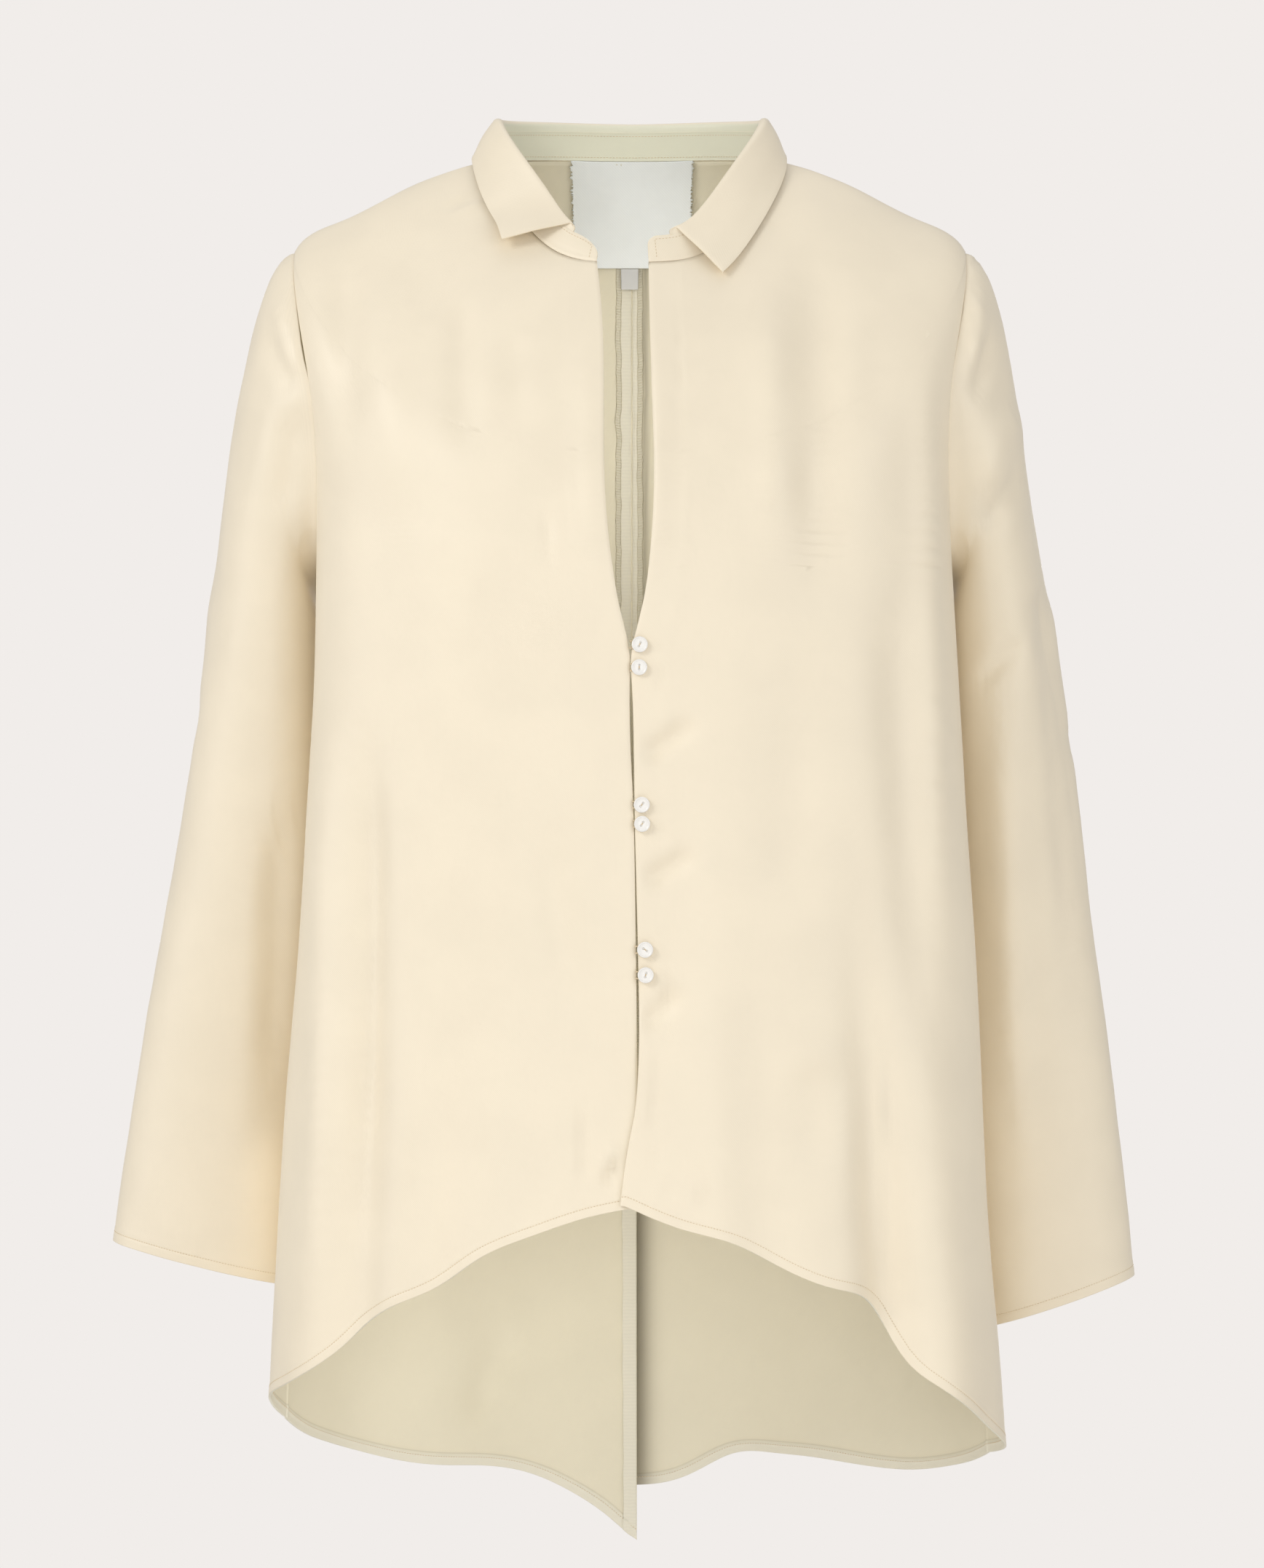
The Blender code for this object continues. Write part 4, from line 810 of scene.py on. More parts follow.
def shape_panel(half, ring, around, creases, seed):
    """Points on the outer face of the cloth with its finer folds, and the way outwards."""
    points, out = half.torso(ring, around)
    fine = crease_relief(points, creases)
    low = smooth_step((-0.12 - points[..., 2]) / 0.3)
    fine += ripple(points, 0.060, 3.0, seed) * (0.0006 + 0.0004 * low)
    fine += ripple(points, 0.020, 1.6, seed + 4) * 0.00012
    return points + out * fine[..., None], out


def ditch(distance, depth=DITCH_DEPTH):
    """How far the cloth sinks into a seam."""
    return -depth * bell(distance, DITCH_WIDTH)


def hem_relief(hem):
    """The turned hem stands a little proud, and its stitches draw the cloth in."""
    proud = 0.00035 * smooth_step((HEM_TURN + 0.0008 - hem) / 0.0016)
    return proud - 0.00034 * bell(hem - HEM_STITCH, 0.0007)


def folded_share(hem):
    """How far the cloth is doubled, by the distance from its hem's edge."""
    return smooth_step((HEM_TURN + 0.0004 - hem) / 0.0008)


def overlap_shade(half, points):
    """Painted shade on the left back, behind the right one's edge below the vent and beside the
    seam's raw edge above it.
    """
    x, z = points[..., 0], points[..., 2]
    vent = smooth_step((VENT_TOP - z) / 0.03)
    below = vent * bell(np.maximum(0, x - VENT_RIGHT_X), 0.009)
    above = (1 - vent) * 0.8 * bell(x - SEAM_ALLOWANCE[LEFT] - 0.0012, 0.0024)
    return 0.64 * (below + above) * (half.side == LEFT)


def centre_relief(half, panel, points, edge, pucker):
    """What the facing, the centre back seam and the vent do to the cloth beside them."""
    if panel is FRONT_PANEL:
        ridge = bell(edge - FACING, 0.0011) * smooth_step((-0.05 - points[..., 2]) / 0.02)
        return 0.00030 * ridge - 0.0007 * bell(edge, 0.0009)
    closed = smooth_step((points[..., 2] - VENT_TOP) / 0.004)
    relief = ditch(edge) * closed * pucker
    if half.side == RIGHT:
        relief -= VENT_CURL * (1 - closed) * bell(edge, 0.014)
    return relief


def make_panel(name, half, panel, seed):
    """One half of the front or back as a thin shell. Returns it with its points and distances."""
    near = [line / PANEL_WIDTH for line in SEAM_LINES]
    shares = even_with_lines(88, near)
    ring, around, hem_z, stretch = panel_places(half, panel, shares)
    points, out = shape_panel(half, ring, around, panel.creases, seed)
    edge = run_lengths(points, 1)
    seam = edge[:, -1:] - edge
    hem = np.where(ring > UNDERARM, (points[..., 2] - hem_z) / stretch, 1.0)
    neck = run_lengths(points, 0)
    neck = neck[-1:] - neck
    pucker = 1 + 0.5 * ripple(points, 0.006, 1.0, seed + 9)
    move = ditch(seam) * pucker + ditch(neck, 0.0006) + hem_relief(hem)
    move += centre_relief(half, panel, points, edge, pucker)
    points = points + out * move[..., None]
    out = grid_out(points, out)
    front = panel is FRONT_PANEL
    uv = np.stack([edge * half.side * (1 if front else -1), points[..., 2]], axis=-1)
    layers = {"hem": hem, "edge": edge, "seam": seam}
    folded = folded_share(hem)
    if front:
        folded = np.maximum(folded, 0.75 * smooth_step((FACING - edge) / 0.0015))
    else:
        # painted shade behind the vent's overlap and beside the seam's raw edge
        layers["shade"] = overlap_shade(half, points)
    bm = cloth_grid(points, out, uv, layers)
    piece = add_piece(name, bm, ["satin_face", "satin_reverse"])
    give_thickness(piece, SHELL, folded=folded.ravel())
    return piece, points, out, layers


def row_at(points, out, layer, value):
    """The line across a grid's columns where a distance from the bottom row has a value."""
    line, outs = [], []
    for k in range(points.shape[1]):
        rise = layer[:HEM_ROWS, k]
        line.append(read_line(value, rise, points[:HEM_ROWS, k]))
        outs.append(read_line(value, rise, out[:HEM_ROWS, k]))
    return np.array(line), unit(np.array(outs))


def both_faces(line, outs):
    """A row of stitches through a folded hem, as it shows outside and inside."""
    return [(line, outs), (line - outs * (SHELL * HEM_LAYERS), -outs)]


def hem_rows(points, out, layers):
    return both_faces(*row_at(points, out, layers["hem"], HEM_STITCH))


# Sleeves ------------------------------------------------------------------------------------
def armhole_loop(half, share):
    """Points round the armhole by share of a turn: over the front, then back up behind."""
    turn = np.where(share <= 0.5, 360 * share, 360 * (1 - share))
    front = armhole_edge(half, turn, "front_angle")
    back = armhole_edge(half, turn, "back_angle")
    around = np.where(share <= 0.5, front, back)
    rings = armhole_ring(turn)
    points = half.outer(rings, around)
    out = half.torso_out(rings, around)
    along = unit(np.roll(points, -1, axis=0) - np.roll(points, 1, axis=0))
    inwards = unit(np.cross(along, out))
    towards = points.mean(axis=0) - points
    inwards *= np.sign(np.sum(inwards * towards, axis=-1, keepdims=True))
    return points, out, inwards


def sleeve_ring(side, place, turns):
    """Points round the arm at places along the table; turns run outer, front, inner, back."""
    table = SLEEVES[side]
    rows = range(len(table))
    size = {n: spline(rows, column(table, n), place)[:, None] for n in SleeveRing._fields}
    cosine, sine = np.cos(turns), np.sin(turns)
    across = np.sign(cosine) * np.abs(cosine) ** (2 / SLEEVE_SQUARE)
    deep = np.sign(sine) * np.abs(sine) ** (2 / SLEEVE_SQUARE)
    middle_x = (size["outer_x"] + size["inner_x"]) / 2
    middle_z = (size["outer_z"] + size["inner_z"]) / 2
    x = side * (middle_x + (size["outer_x"] - size["inner_x"]) / 2 * across)
    y = size["middle_y"] - size["half_depth"] * deep
    z = middle_z + (size["outer_z"] - size["inner_z"]) / 2 * across
    return np.stack(np.broadcast_arrays(x, y, z), axis=-1)


def cap_rows(start, end, down, leave, low, inwards, out):
    """Rows from the armhole to the arm, each point on a curve that leaves and meets smoothly."""
    puff = unit(inwards * 0.4 + out) * (1 - low) * CAP_PUFF
    reach = np.linalg.norm(end - start, axis=-1, keepdims=True)
    push = leave * np.minimum(CAP_PUSH, reach * 1.1)
    pull = down * np.minimum(CAP_PULL, reach * 1.1)
    rows = []
    for t in np.concatenate([CAP_LINES, np.linspace(0.12, 1, 40)[:-1]]):
        t2, t3 = t * t, t**3
        row = start * (2 * t3 - 3 * t2 + 1) + end * (3 * t2 - 2 * t3)
        row = row + push * (t3 - 2 * t2 + t) + pull * (t3 - t2)
        rows.append(row + puff * 24 * t * (1 - t) ** 8)
    return np.array(rows)


def sleeve_points(half):
    """Outer points of a sleeve, row by row from the armhole to the cuff, and the seam's way out."""
    side = half.side
    share = np.linspace(0, 1, SLEEVE_TURNS, endpoint=False)
    turns = 2 * math.pi * share
    hole, out, inwards = armhole_loop(half, share)
    start = hole + inwards * SEAM_GAP * 0.4
    ends = sleeve_ring(side, np.array([0.0, 0.1]), turns)
    end, down = ends[0], unit(ends[1] - ends[0])
    low = ((1 - np.cos(turns)) / 2)[:, None]  # 0 at the shoulder, 1 at the underarm
    leave = unit(inwards * (1 - low) + out * (0.35 + 0.65 * low) + np.array([0, 0, -0.3]) * low)
    cap = cap_rows(start, end, down, leave, low, inwards, out)
    table = SLEEVES[side]
    long = abs(table[-1].outer_z - table[-2].outer_z)
    cuff_lines = len(table) - 1 - np.array((0.0,) + HEM_LINES) / long
    places = np.linspace(0, cuff_lines.min(), 100)[:-1]
    places = np.concatenate([places, cuff_lines[::-1]])
    return np.concatenate([cap, sleeve_ring(side, places, turns)]), out


def wrapped(closed):
    """A closed grid with its neighbouring column once more at either end."""
    return np.concatenate([closed[:, -2:-1], closed, closed[:, 1:2]], axis=1)


def sleeve_relief(points, out, along, hem, seed):
    """Folds, the gathers at the head, the sunk seam and the cuff, as distances outwards."""
    front = smooth_step(-out[..., 1] * 3)
    move = crease_relief(points, SLEEVE_CREASES) * front
    move += crease_relief(points, SLEEVE_BACK_CREASES) * (1 - front)
    move += ripple(points, 0.040, 2.6, seed) * 0.0013 * smooth_step(along / 0.05)
    move += ripple(points, 0.015, 1.6, seed + 3) * 0.0003 * smooth_step(along / 0.03)
    turns = 2 * np.pi * np.linspace(0, 1, points.shape[1])
    ease = bell(along - 0.007, 0.006) * np.clip(np.cos(turns), 0, 1)
    move += ease * ripple(points, 0.006, 1.0, seed + 5) * 0.0012
    low = (1 - np.cos(turns)) / 2
    move -= SEAM_SINK * low * bell(along, 0.010) * smooth_step(along / 0.001) * front
    move += ditch(along) + hem_relief(hem * HEM_STITCH / CUFF_STITCH)
    move[:, -1] = move[:, 0]
    return move


def make_sleeve(half, seed):
    """A set-in sleeve. Returns it with its rows of cuff stitches and its points."""
    rows, seam_out = sleeve_points(half)
    closed = np.concatenate([rows, rows[:, :1]], axis=1)
    wide = wrapped(closed)
    like = wide - rows.mean(axis=1, keepdims=True)
    like[:3] = np.concatenate([seam_out[-1:], seam_out, seam_out[:2]])
    out = grid_out(wide, like)[:, 1:-1]
    along = run_lengths(closed, 0)
    hem = along[-1:] - along
    move = sleeve_relief(closed, out, along, hem, seed)
    beside = bell(along, 0.004)[..., None]
    seam_way = np.concatenate([seam_out, seam_out[:1]])
    points = closed + unit(out * (1 - beside) + seam_way * beside) * move[..., None]
    around = run_lengths(points, 1)
    uv = np.stack([half.side * -around, points[..., 2]], axis=-1)
    seam = np.minimum(np.abs(around - around[:, -1:] / 2), along)
    layers = {"hem": hem * HEM_TURN / CUFF_TURN, "edge": np.full(hem.shape, 1.0), "seam": seam}
    bm = cloth_grid(points, out, uv, layers, closed=True)
    piece = add_piece(f"sleeve_{half.name}", bm, ["satin_face", "satin_reverse"])
    welded = piece.data.attributes["hem"].data
    give_thickness(piece, SHELL, folded=[folded_share(each.value) for each in welded])
    out = grid_out(wrapped(points), wrapped(out))[:, 1:-1]
    sewing = both_faces(*row_at(points[::-1], out[::-1], hem[::-1], CUFF_STITCH))
    knot = round(0.47 * (points.shape[1] - 1))  # the column where the cuff's sewing ends
    sewing.append((points[-9:-1, knot], out[-9:-1, knot]))
    return piece, sewing, points


# Collar -------------------------------------------------------------------------------------
def neck_frame(angle, side):
    """The neckline's points and its along, outward and up-the-stand directions."""
    point = ring_point(0.0, angle, side)
    along = unit(ring_point(0.0, angle + 0.5, side) - ring_point(0.0, angle - 0.5, side))
    level = np.stack([along[..., 1], -along[..., 0], np.zeros(np.shape(angle))], axis=-1)
    level = unit(level) * side
    lean = read(STAND, "angle", "lean", -np.abs(angle))[..., None]
    up = np.array([0.0, 0.0, 1.0]) - level * lean
    up = unit(up - along * np.sum(up * along, axis=-1, keepdims=True))
    return point, along, unit(np.cross(along, up)) * side, up


def side_angles(start, near, step=1.1):
    """Angles from a front end round to the centre back, closer together at the end."""
    even = np.arange(start + near[-1] + step, 180 - step / 2, step)
    return np.concatenate([[start], start + np.array(near), even, [180.0]])


def stand_height(angle, side):
    """How high the stand is, without its rounded front ends."""
    return read(STAND, "angle", f"{SIDE_NAMES[side]}_height", -np.abs(angle))


def stand_side(half, shares):
    """One side of the stand: its outer points and normals, by share of height and by angle."""
    ring = np.array(0.0)
    start = float(half.angle(ring, front_edge(half, ring)))
    angles = side_angles(start, (0.3, 0.8, 1.6, 2.6, 3.6))
    point, _, out, up = neck_frame(angles, half.side)
    end = STAND_ENDS[half.side]
    to_square = np.maximum(0, 1 - (angles - start) / end.round_angle)
    corner = end.least + (1 - end.least) * np.sqrt(np.maximum(0, 1 - to_square**2))
    top = STAND_GAP + stand_height(angles, half.side) * corner
    rise = -0.0004 + (top + 0.0006) * shares[:, None]
    return point + up * rise[..., None], np.broadcast_to(out, (*rise.shape, 3))


def join_sides(right, left):
    """Columns from the right front end over the back to the left front end."""
    return np.concatenate([right, left[:, -2::-1]], axis=1)


def edge_distance(points):
    """How far each point of a grid is from the nearest edge of it."""
    up, along = run_lengths(points, 0), run_lengths(points, 1)
    across = np.minimum(up, up[-1:] - up)
    return np.minimum(across, np.minimum(along, along[:, -1:] - along))


def soften(piece):
    """Rounds the folded edges of doubled cloth."""
    soft = piece.modifiers.new("fold", "BEVEL")
    soft.width = 0.00025
    soft.segments = 3
    soft.limit_method = "ANGLE"
    soft.angle_limit = math.radians(50)


def stand_stitches(points, inner, out):
    """Rows all round inside the stand, and outside only near its front ends."""
    lines = [(inner[-4, 4:-4], -out[-4, 4:-4]), (inner[3, 4:-4], -out[3, 4:-4])]
    for end in (5, -6):
        lines.append((points[3:-3, end], out[3:-3, end]))
        lines.append((inner[3:-3, end], -out[3:-3, end]))
    for end in (slice(5, 40), slice(-40, -5)):
        lines.append((points[-4, end], out[-4, end]))
    return lines


def make_stand():
    shares = np.array((0, 0.03, 0.08, 0.14, 0.2, 0.3, 0.4, 0.5, 0.6, 0.7, 0.8, 0.86, 0.92, 0.97, 1))
    sides = [stand_side(HALVES[side], shares) for side in (RIGHT, LEFT)]
    points, like = (join_sides(*pair) for pair in zip(*sides))
    out = grid_out(points, like)
    rim = edge_distance(points)
    move = ripple(points, 0.02, 1.0, 31) * 0.0004 - 0.0005 * bell(rim, 0.0009)
    move += -0.00025 * bell(rim - 0.0028, 0.0007)
    points = points + out * move[..., None]
    uv = np.stack([run_lengths(points, 1), points[..., 2]], axis=-1)
    bm = cloth_grid(points, out, uv, {"edge": rim})
    piece = add_piece("collar_stand", bm, ["satin_collar", "stand_reverse"])
    give_thickness(piece, STAND_SHELL, rim=0)
    soften(piece)
    inner = points - out * STAND_SHELL
    lines = stand_stitches(points, inner, out)
    sewn = add_stitches("stitches_stand", lines, 0.0019, 0.0014, 0.0004)
    length = float(run_lengths(points, 1)[:, -1].mean())


def leaf_column(half, angle, rolled, laid):
    """Middle of the leaf and its outer normals, from the stand's seam over the roll to its edge."""
    table, side = LEAF[half.side], half.side
    point, _, out, up = neck_frame(np.array(angle), side)
    stand_top = STAND_GAP + stand_height(angle, side)
    base = point + up * (stand_top - 0.0003) - out * STAND_CLOTH / 2
    rise, ring, turn = (
        read(table, "angle", name, angle) for name in ("rise", "edge_ring", "edge_angle")
    )
    top = base + up * (0.0003 + LEAF_SEAM + float(rise))
    around = half.around(ring, turn)
    clear = LEAF_CLEAR + LEAF_LIFT[side] * float(smooth_step(1 - (angle - table[0].angle) / 22))
    edge = half.outer(ring, around) + half.torso_out(ring, around) * clear
    reach = edge - top
    outwards = unit(reach - up * np.dot(reach, up))
    far, low = float(np.dot(reach, outwards)) - LEAF_ROLL, float(np.dot(reach, up))
    span = math.hypot(far, low)
    last = math.atan2(low, -far) % (2 * math.pi) - math.acos(LEAF_ROLL / span)
    centre = top + outwards * LEAF_ROLL
    normal = [up * math.sin(a) - outwards * math.cos(a) for a in rolled * last]
    face = [centre + n * LEAF_ROLL for n in normal]
    line = [face[-1] + (edge - face[-1]) * step for step in laid]
    middle = [base + (top - base) * step for step in (0, 0.5)]
    return middle + face + line, [-outwards] * 2 + normal + [normal[-1]] * len(laid)


def leaf_grid():
    """Points on the middle of the leaf and its outer normals, over both sides."""
    rolled = np.linspace(0, 1, 13)
    laid = (0.06, 0.13, 0.2, 0.28, 0.36, 0.44, 0.52, 0.6, 0.68, 0.76, 0.83, 0.89, 0.94, 0.975, 1.0)
    sides = []
    for half in (HALVES[RIGHT], HALVES[LEFT]):
        angles = side_angles(LEAF[half.side][0].angle, (0.25, 0.6, 1.1, 1.8, 2.7))
        columns = [leaf_column(half, angle, rolled, laid) for angle in angles]
        sides.append([np.array(part).transpose(1, 0, 2) for part in zip(*columns)])
    return [join_sides(*pair) for pair in zip(*sides)]


def make_leaf():
    points, like = leaf_grid()
    points = points + like * LEAF_CLOTH / 2
    out = grid_out(points, like)
    down = run_lengths(points, 0)
    along = run_lengths(points, 1)
    ends = np.minimum(along, along[:, -1:] - along)
    rim = np.minimum(down[-1:] - down, ends)
    share = down / down[-1:]
    move = 0.0010 * np.sin(np.pi * np.clip((share - 0.2) / 0.8, 0, 1)) ** 2
    move += ripple(points, 0.03, 1.0, 41) * 0.0007 * share
    move -= 0.0005 * bell(rim, 0.0010)
    points = points + out * move[..., None]
    uv = np.stack([along, -down], axis=-1)
    inner = (1 - smooth_step((down - 0.0040) / 0.0018)) * smooth_step((ends - 0.02) / 0.03)
    bm = cloth_grid(points, out, uv, {"edge": rim, "inner": inner})
    piece = add_piece("collar_leaf", bm, ["satin_collar"] * 2)
    give_thickness(piece, LEAF_SHELL, rim=0)
    soften(piece)
    return piece, points


# Inside the back ----------------------------------------------------------------------------
def read_rows(at, keys, rows):
    """Each row of points read where its own run of keys has the wanted values."""
    return np.array([read_line(*each) for each in zip(at, keys, rows)])


def add_overlock(name, line, outs, along):
    """Slanting threads over a raw edge, between a row along it and one further in."""
    pitch, reach = OVERLOCK_PITCH, OVERLOCK_REACH
    bm = bmesh.new()
    across = [
        (spot - side * reach * 0.45, side + np.array([0, 0, 0.25]), level)
        for (spot, _, level), (_, _, side) in zip(
            stitch_places(line, outs, pitch), stitch_places(line, along, pitch)
        )
    ]
    add_threads(bm, across, reach + 0.0006, 0.00042, 0.0001)
    for inset in (0.0002, reach):
        row = stitch_places(line - along * inset, outs, pitch)
        add_threads(bm, row, pitch * 1.1, 0.0005, 0.0002)
    return add_piece(name, bm, ["overlock_thread"], packed=False)


def make_allowance(half, points, out):
    """The centre back seam's pressed-open edge, with overlocking along its raw side."""
    start = 0 if half.side == RIGHT else int(np.argmax(points[:, 0, 2] > VENT_TOP))
    points, out = (grid[start:, :ALLOWANCE_COLUMNS] for grid in (points, out))
    edge, along, run = points[:, 0], unit(points[:, -1] - points[:, 0]), run_lengths(points, 1)
    wave = ripple(edge, 0.012, 1.0, 51 + half.side)
    width = SEAM_ALLOWANCE[half.side] * (1 + 0.10 * wave)
    shares = np.array((0.03, 0.08, 0.16, 0.28, 0.42, 0.56, 0.68, 0.78, 0.88, 0.95, 1))
    across = width[:, None] * shares
    face = read_rows(across, run, points)
    lift = SHELL + 0.0004 + 0.0010 * shares * (1 + ripple(face, 0.02, 1.0, 61))
    face = face - read_rows(across, run, out) * lift[..., None]
    normal = grid_out(face, -np.broadcast_to(out[:, :1], face.shape))
    uv = np.stack([across * half.side, face[..., 2]], axis=-1)
    sewn = edge[:, 2] > VENT_TOP
    raw = np.where(sewn[:, None], width[:, None] - across, 1.0)
    bm = cloth_grid(face, normal, uv, {"edge": raw})
    piece = add_piece(f"back_seam_{half.name}", bm, ["satin_turned"] * 2)
    give_thickness(piece, ALLOWANCE_SHELL)
    name = f"overlock_{half.name}"
    return piece, add_overlock(name, face[sewn, -1], normal[sewn, -1], along[sewn])


def before_back(x, z, clear):
    """How far back a point is that lies clear in front of the back, at a given x and height."""
    half = HALVES[RIGHT if x < 0 else LEFT]
    rings = np.linspace(0, UNDERARM, 60)
    around = half.around_at_x(rings, np.full(rings.shape, x), back=True)
    points = half.outer(rings, around)
    return np.interp(-z, -points[:, 2], points[:, 1]) - clear


def make_label(name, xs, heights, clears, finish_name, thickness, fray, seed):
    """A small hanging sheet in front of the back, with a gentle wave and raw sides."""
    columns = np.linspace(0, len(xs) - 1, 9).astype(int)
    low = list(zip(heights[::8], clears[::8]))
    depths = np.array([[before_back(xs[k], *each) for k in columns] for each in low])
    depths = np.array([np.interp(range(len(xs)), columns, row) for row in depths])
    y = np.array([np.interp(heights, heights[::8], column) for column in depths.T]).T
    x = np.tile(xs, (len(heights), 1))
    z = np.tile(heights[:, None], (1, len(xs)))
    points = np.stack([x, y, z], axis=-1)
    hang = (heights[-1] - z) / (heights[-1] - heights[0])
    points[..., 1] -= ripple(points, 0.016, 2.5, seed) * 0.0012 * hang
    points[..., 0] -= (x - x.mean()) * LABEL_TAPER * hang
    ragged = ripple(points, 0.0007, 0.6, seed + 2) * fray
    edge = np.minimum(x - xs[0], xs[-1] - x)
    points[..., 0] += ragged * np.exp(-edge / 0.0006)
    out = grid_out(points, np.zeros(points.shape) - [0, 1, 0])
    bm = cloth_grid(points, out, points[..., [0, 2]], {"edge": edge})
    piece = add_piece(name, bm, [finish_name])
    give_thickness(piece, thickness)
    return piece, points


# Trims --------------------------------------------------------------------------------------
BUTTON_RADIUS, HOLE_SPREAD, HOLE_RADIUS = 0.0045, 0.00120, 0.00070


def button_place(height):
    """The middle of a button's seat on the left front, and the outward normal there."""
    half = HALVES[LEFT]
    ring = ring_at_height(height)
    around = half.around_at_x(ring, float(edge_x(LEFT, height)) + BUTTON_INSET)
    return half.outer(ring, around), half.torso_out(ring, around)


def upright(out, turn):
    """A turn that lays local Z along out, with local Y as near upwards as it can be."""
    z = Vector(out).normalized()
    x = Vector((0, 0, 1)).cross(z).normalized()
    y = z.cross(x)
    return Matrix((x, y, z)).transposed().to_4x4() @ Matrix.Rotation(turn, 4, "Z")


def button_profile():
    """Radius and height from the middle of the dished face, over the rim, to the shank."""
    inner = np.linspace(0.0, 0.0034, 24)
    face = [(r, 0.00095 + 0.00010 * smooth_step((r - 0.0022) / 0.0009)) for r in inner]
    rim = [(0.0037, 0.00140), (0.0041, 0.00142), (0.00438, 0.00125), (BUTTON_RADIUS, 0.0009)]
    back = [(BUTTON_RADIUS, 0.0005), (0.00435, 0.00015), (0.0041, 0.0)]
    return face + rim + back + [(0.0010, 0.0), (0.0010, -0.0014)]


def make_button(name, button):
    """A two-hole shell button: a dished face, a rounded rim and a plain back, and its thread."""
    centre, out = button_place(button.height)
    bm = bmesh.new()
    tint_layer = bm.verts.layers.float.new("tint")
    painted_shade_layer = bm.verts.layers.float.new("hole")
    verts = [bm.verts.new((r, 0, h)) for r, h in button_profile()]
    edges = [bm.edges.new(pair) for pair in zip(verts, verts[1:])]
    bmesh.ops.spin(bm, geom=verts + edges, cent=(0, 0, 0), axis=(0, 0, 1), angle=2 * math.pi,
                   steps=72, use_merge=True)
    bmesh.ops.remove_doubles(bm, verts=bm.verts, dist=WELD)
    for vert in bm.verts:
        vert[tint_layer] = button.tint
        # The "hole" share is painted shade: a little round the rim's outer edge, and full deep in
        # each sunk hole below.
        vert[painted_shade_layer] = 0.25 if vert.co.xy.length > 0.0042 else 0.0
        for x in (-HOLE_SPREAD, HOLE_SPREAD):
            gap = math.hypot(vert.co.x - x, vert.co.y)
            if gap < HOLE_RADIUS and vert.co.z > 0.0005:
                vert.co.z -= 0.0009 * (1 - (gap / HOLE_RADIUS) ** 4)
                vert[painted_shade_layer] = 1.0
    bmesh.ops.recalc_face_normals(bm, faces=bm.faces)
    place = Matrix.Translation(Vector(centre) + Vector(out) * BUTTON_LIFT)
    place = place @ upright(out, button.turn)
    bmesh.ops.transform(bm, matrix=place, verts=bm.verts)
    add_piece(name, bm, ["pearl_shell"])
    bm = bmesh.new()
    size = Matrix.Diagonal((HOLE_SPREAD * 0.66, 0.00013, 0.00017, 1))
    for y in (-0.00022, 0.0, 0.00022):
        spot = Matrix.Translation((0, y, 0.00105))
        bmesh.ops.create_uvsphere(bm, u_segments=8, v_segments=6, radius=1,
                                  matrix=place @ spot @ size)
    add_piece(f"{name}_thread", bm, ["sewing_thread"], packed=False)


def loop_route(height):
    """The middle of a loop's cord, from the edge round the shank and back, and the way out."""
    centre, out = button_place(height)
    across = unit(np.cross([0.0, 0.0, 1.0], out))
    across *= np.sign(across[0])
    upwards = np.cross(out, across)
    level = centre + out * (SEAM_GAP + LOOP_WIRE)
    tail = across * (float(centre[0]) - (float(edge_x(RIGHT, height)) + SEAM_GAP))
    turns = np.radians(np.linspace(-90, 90, 31))[:, None]
    bend = level + LOOP_BEND * (across * np.cos(turns) + upwards * np.sin(turns))
    tails = np.linspace(1, 0, 12, endpoint=False)[:, None]
    return np.concatenate([bend[0] - tail * tails, bend, bend[-1] - tail * tails[::-1]]), out


def make_loop(name, height):
    """A loop of two twisted threads from the right front's edge round the button's shank."""
    route, out = loop_route(height)
    line = bpy.data.curves.new(name, "CURVE")
    line.dimensions = "3D"
    line.bevel_depth = LOOP_WIRE * 0.62
    line.bevel_resolution = 2
    line.use_fill_caps = True
    run = run_lengths(route, 0)
    beside = unit(np.cross(unit(np.gradient(route, axis=0)), out))
    for start in (0, math.pi):
        turn = (start + run / LOOP_TWIST * 2 * math.pi)[:, None]
        strand = route + (beside * np.cos(turn) + out * np.sin(turn)) * LOOP_WIRE * 0.45
        thread = line.splines.new("POLY")
        thread.points.add(len(strand) - 1)
        for point, place in zip(thread.points, strand):
            point.co = (*place, 1)
    place_piece(name, line, ["sewing_thread"])


# Finishes -----------------------------------------------------------------------------------
class Value:
    """A shader socket that can be added, subtracted and multiplied like a number."""

    def __init__(self, nodes, socket):
        self.nodes, self.socket = nodes, socket

    def __add__(self, other):
        return self.nodes.sum("ADD", self, other)

    def __radd__(self, other):
        return self.nodes.sum("ADD", other, self)

    def __sub__(self, other):
        return self.nodes.sum("SUBTRACT", self, other)

    def __rsub__(self, other):
        return self.nodes.sum("SUBTRACT", other, self)

    def __mul__(self, other):
        return self.nodes.sum("MULTIPLY", self, other)

    def __rmul__(self, other):
        return self.nodes.sum("MULTIPLY", other, self)

    def sine(self):
        return self.nodes.sum("SINE", self)


class Nodes:
    """A node tree, emptied, whose nodes are made by kind, settings and sockets."""

    def __init__(self, owner):
        owner.use_nodes = True
        self.tree = owner.node_tree
        self.tree.nodes.clear()

    def node(self, kind, settings=None, sockets=None):
        made = self.tree.nodes.new(kind)
        for name, value in (settings or {}).items():
            setattr(made, name, value)
        for name, value in (sockets or {}).items():
            if isinstance(value, Value):
                self.tree.links.new(value.socket, made.inputs[name])
            else:
                made.inputs[name].default_value = value
        return made

    def value(self, kind, settings=None, sockets=None, output=0):
        """One output of a new node."""
        return Value(self, self.node(kind, settings, sockets).outputs[output])

    def sum(self, operation, first, second=0.0):
        return self.value("ShaderNodeMath", {"operation": operation}, {0: first, 1: second})


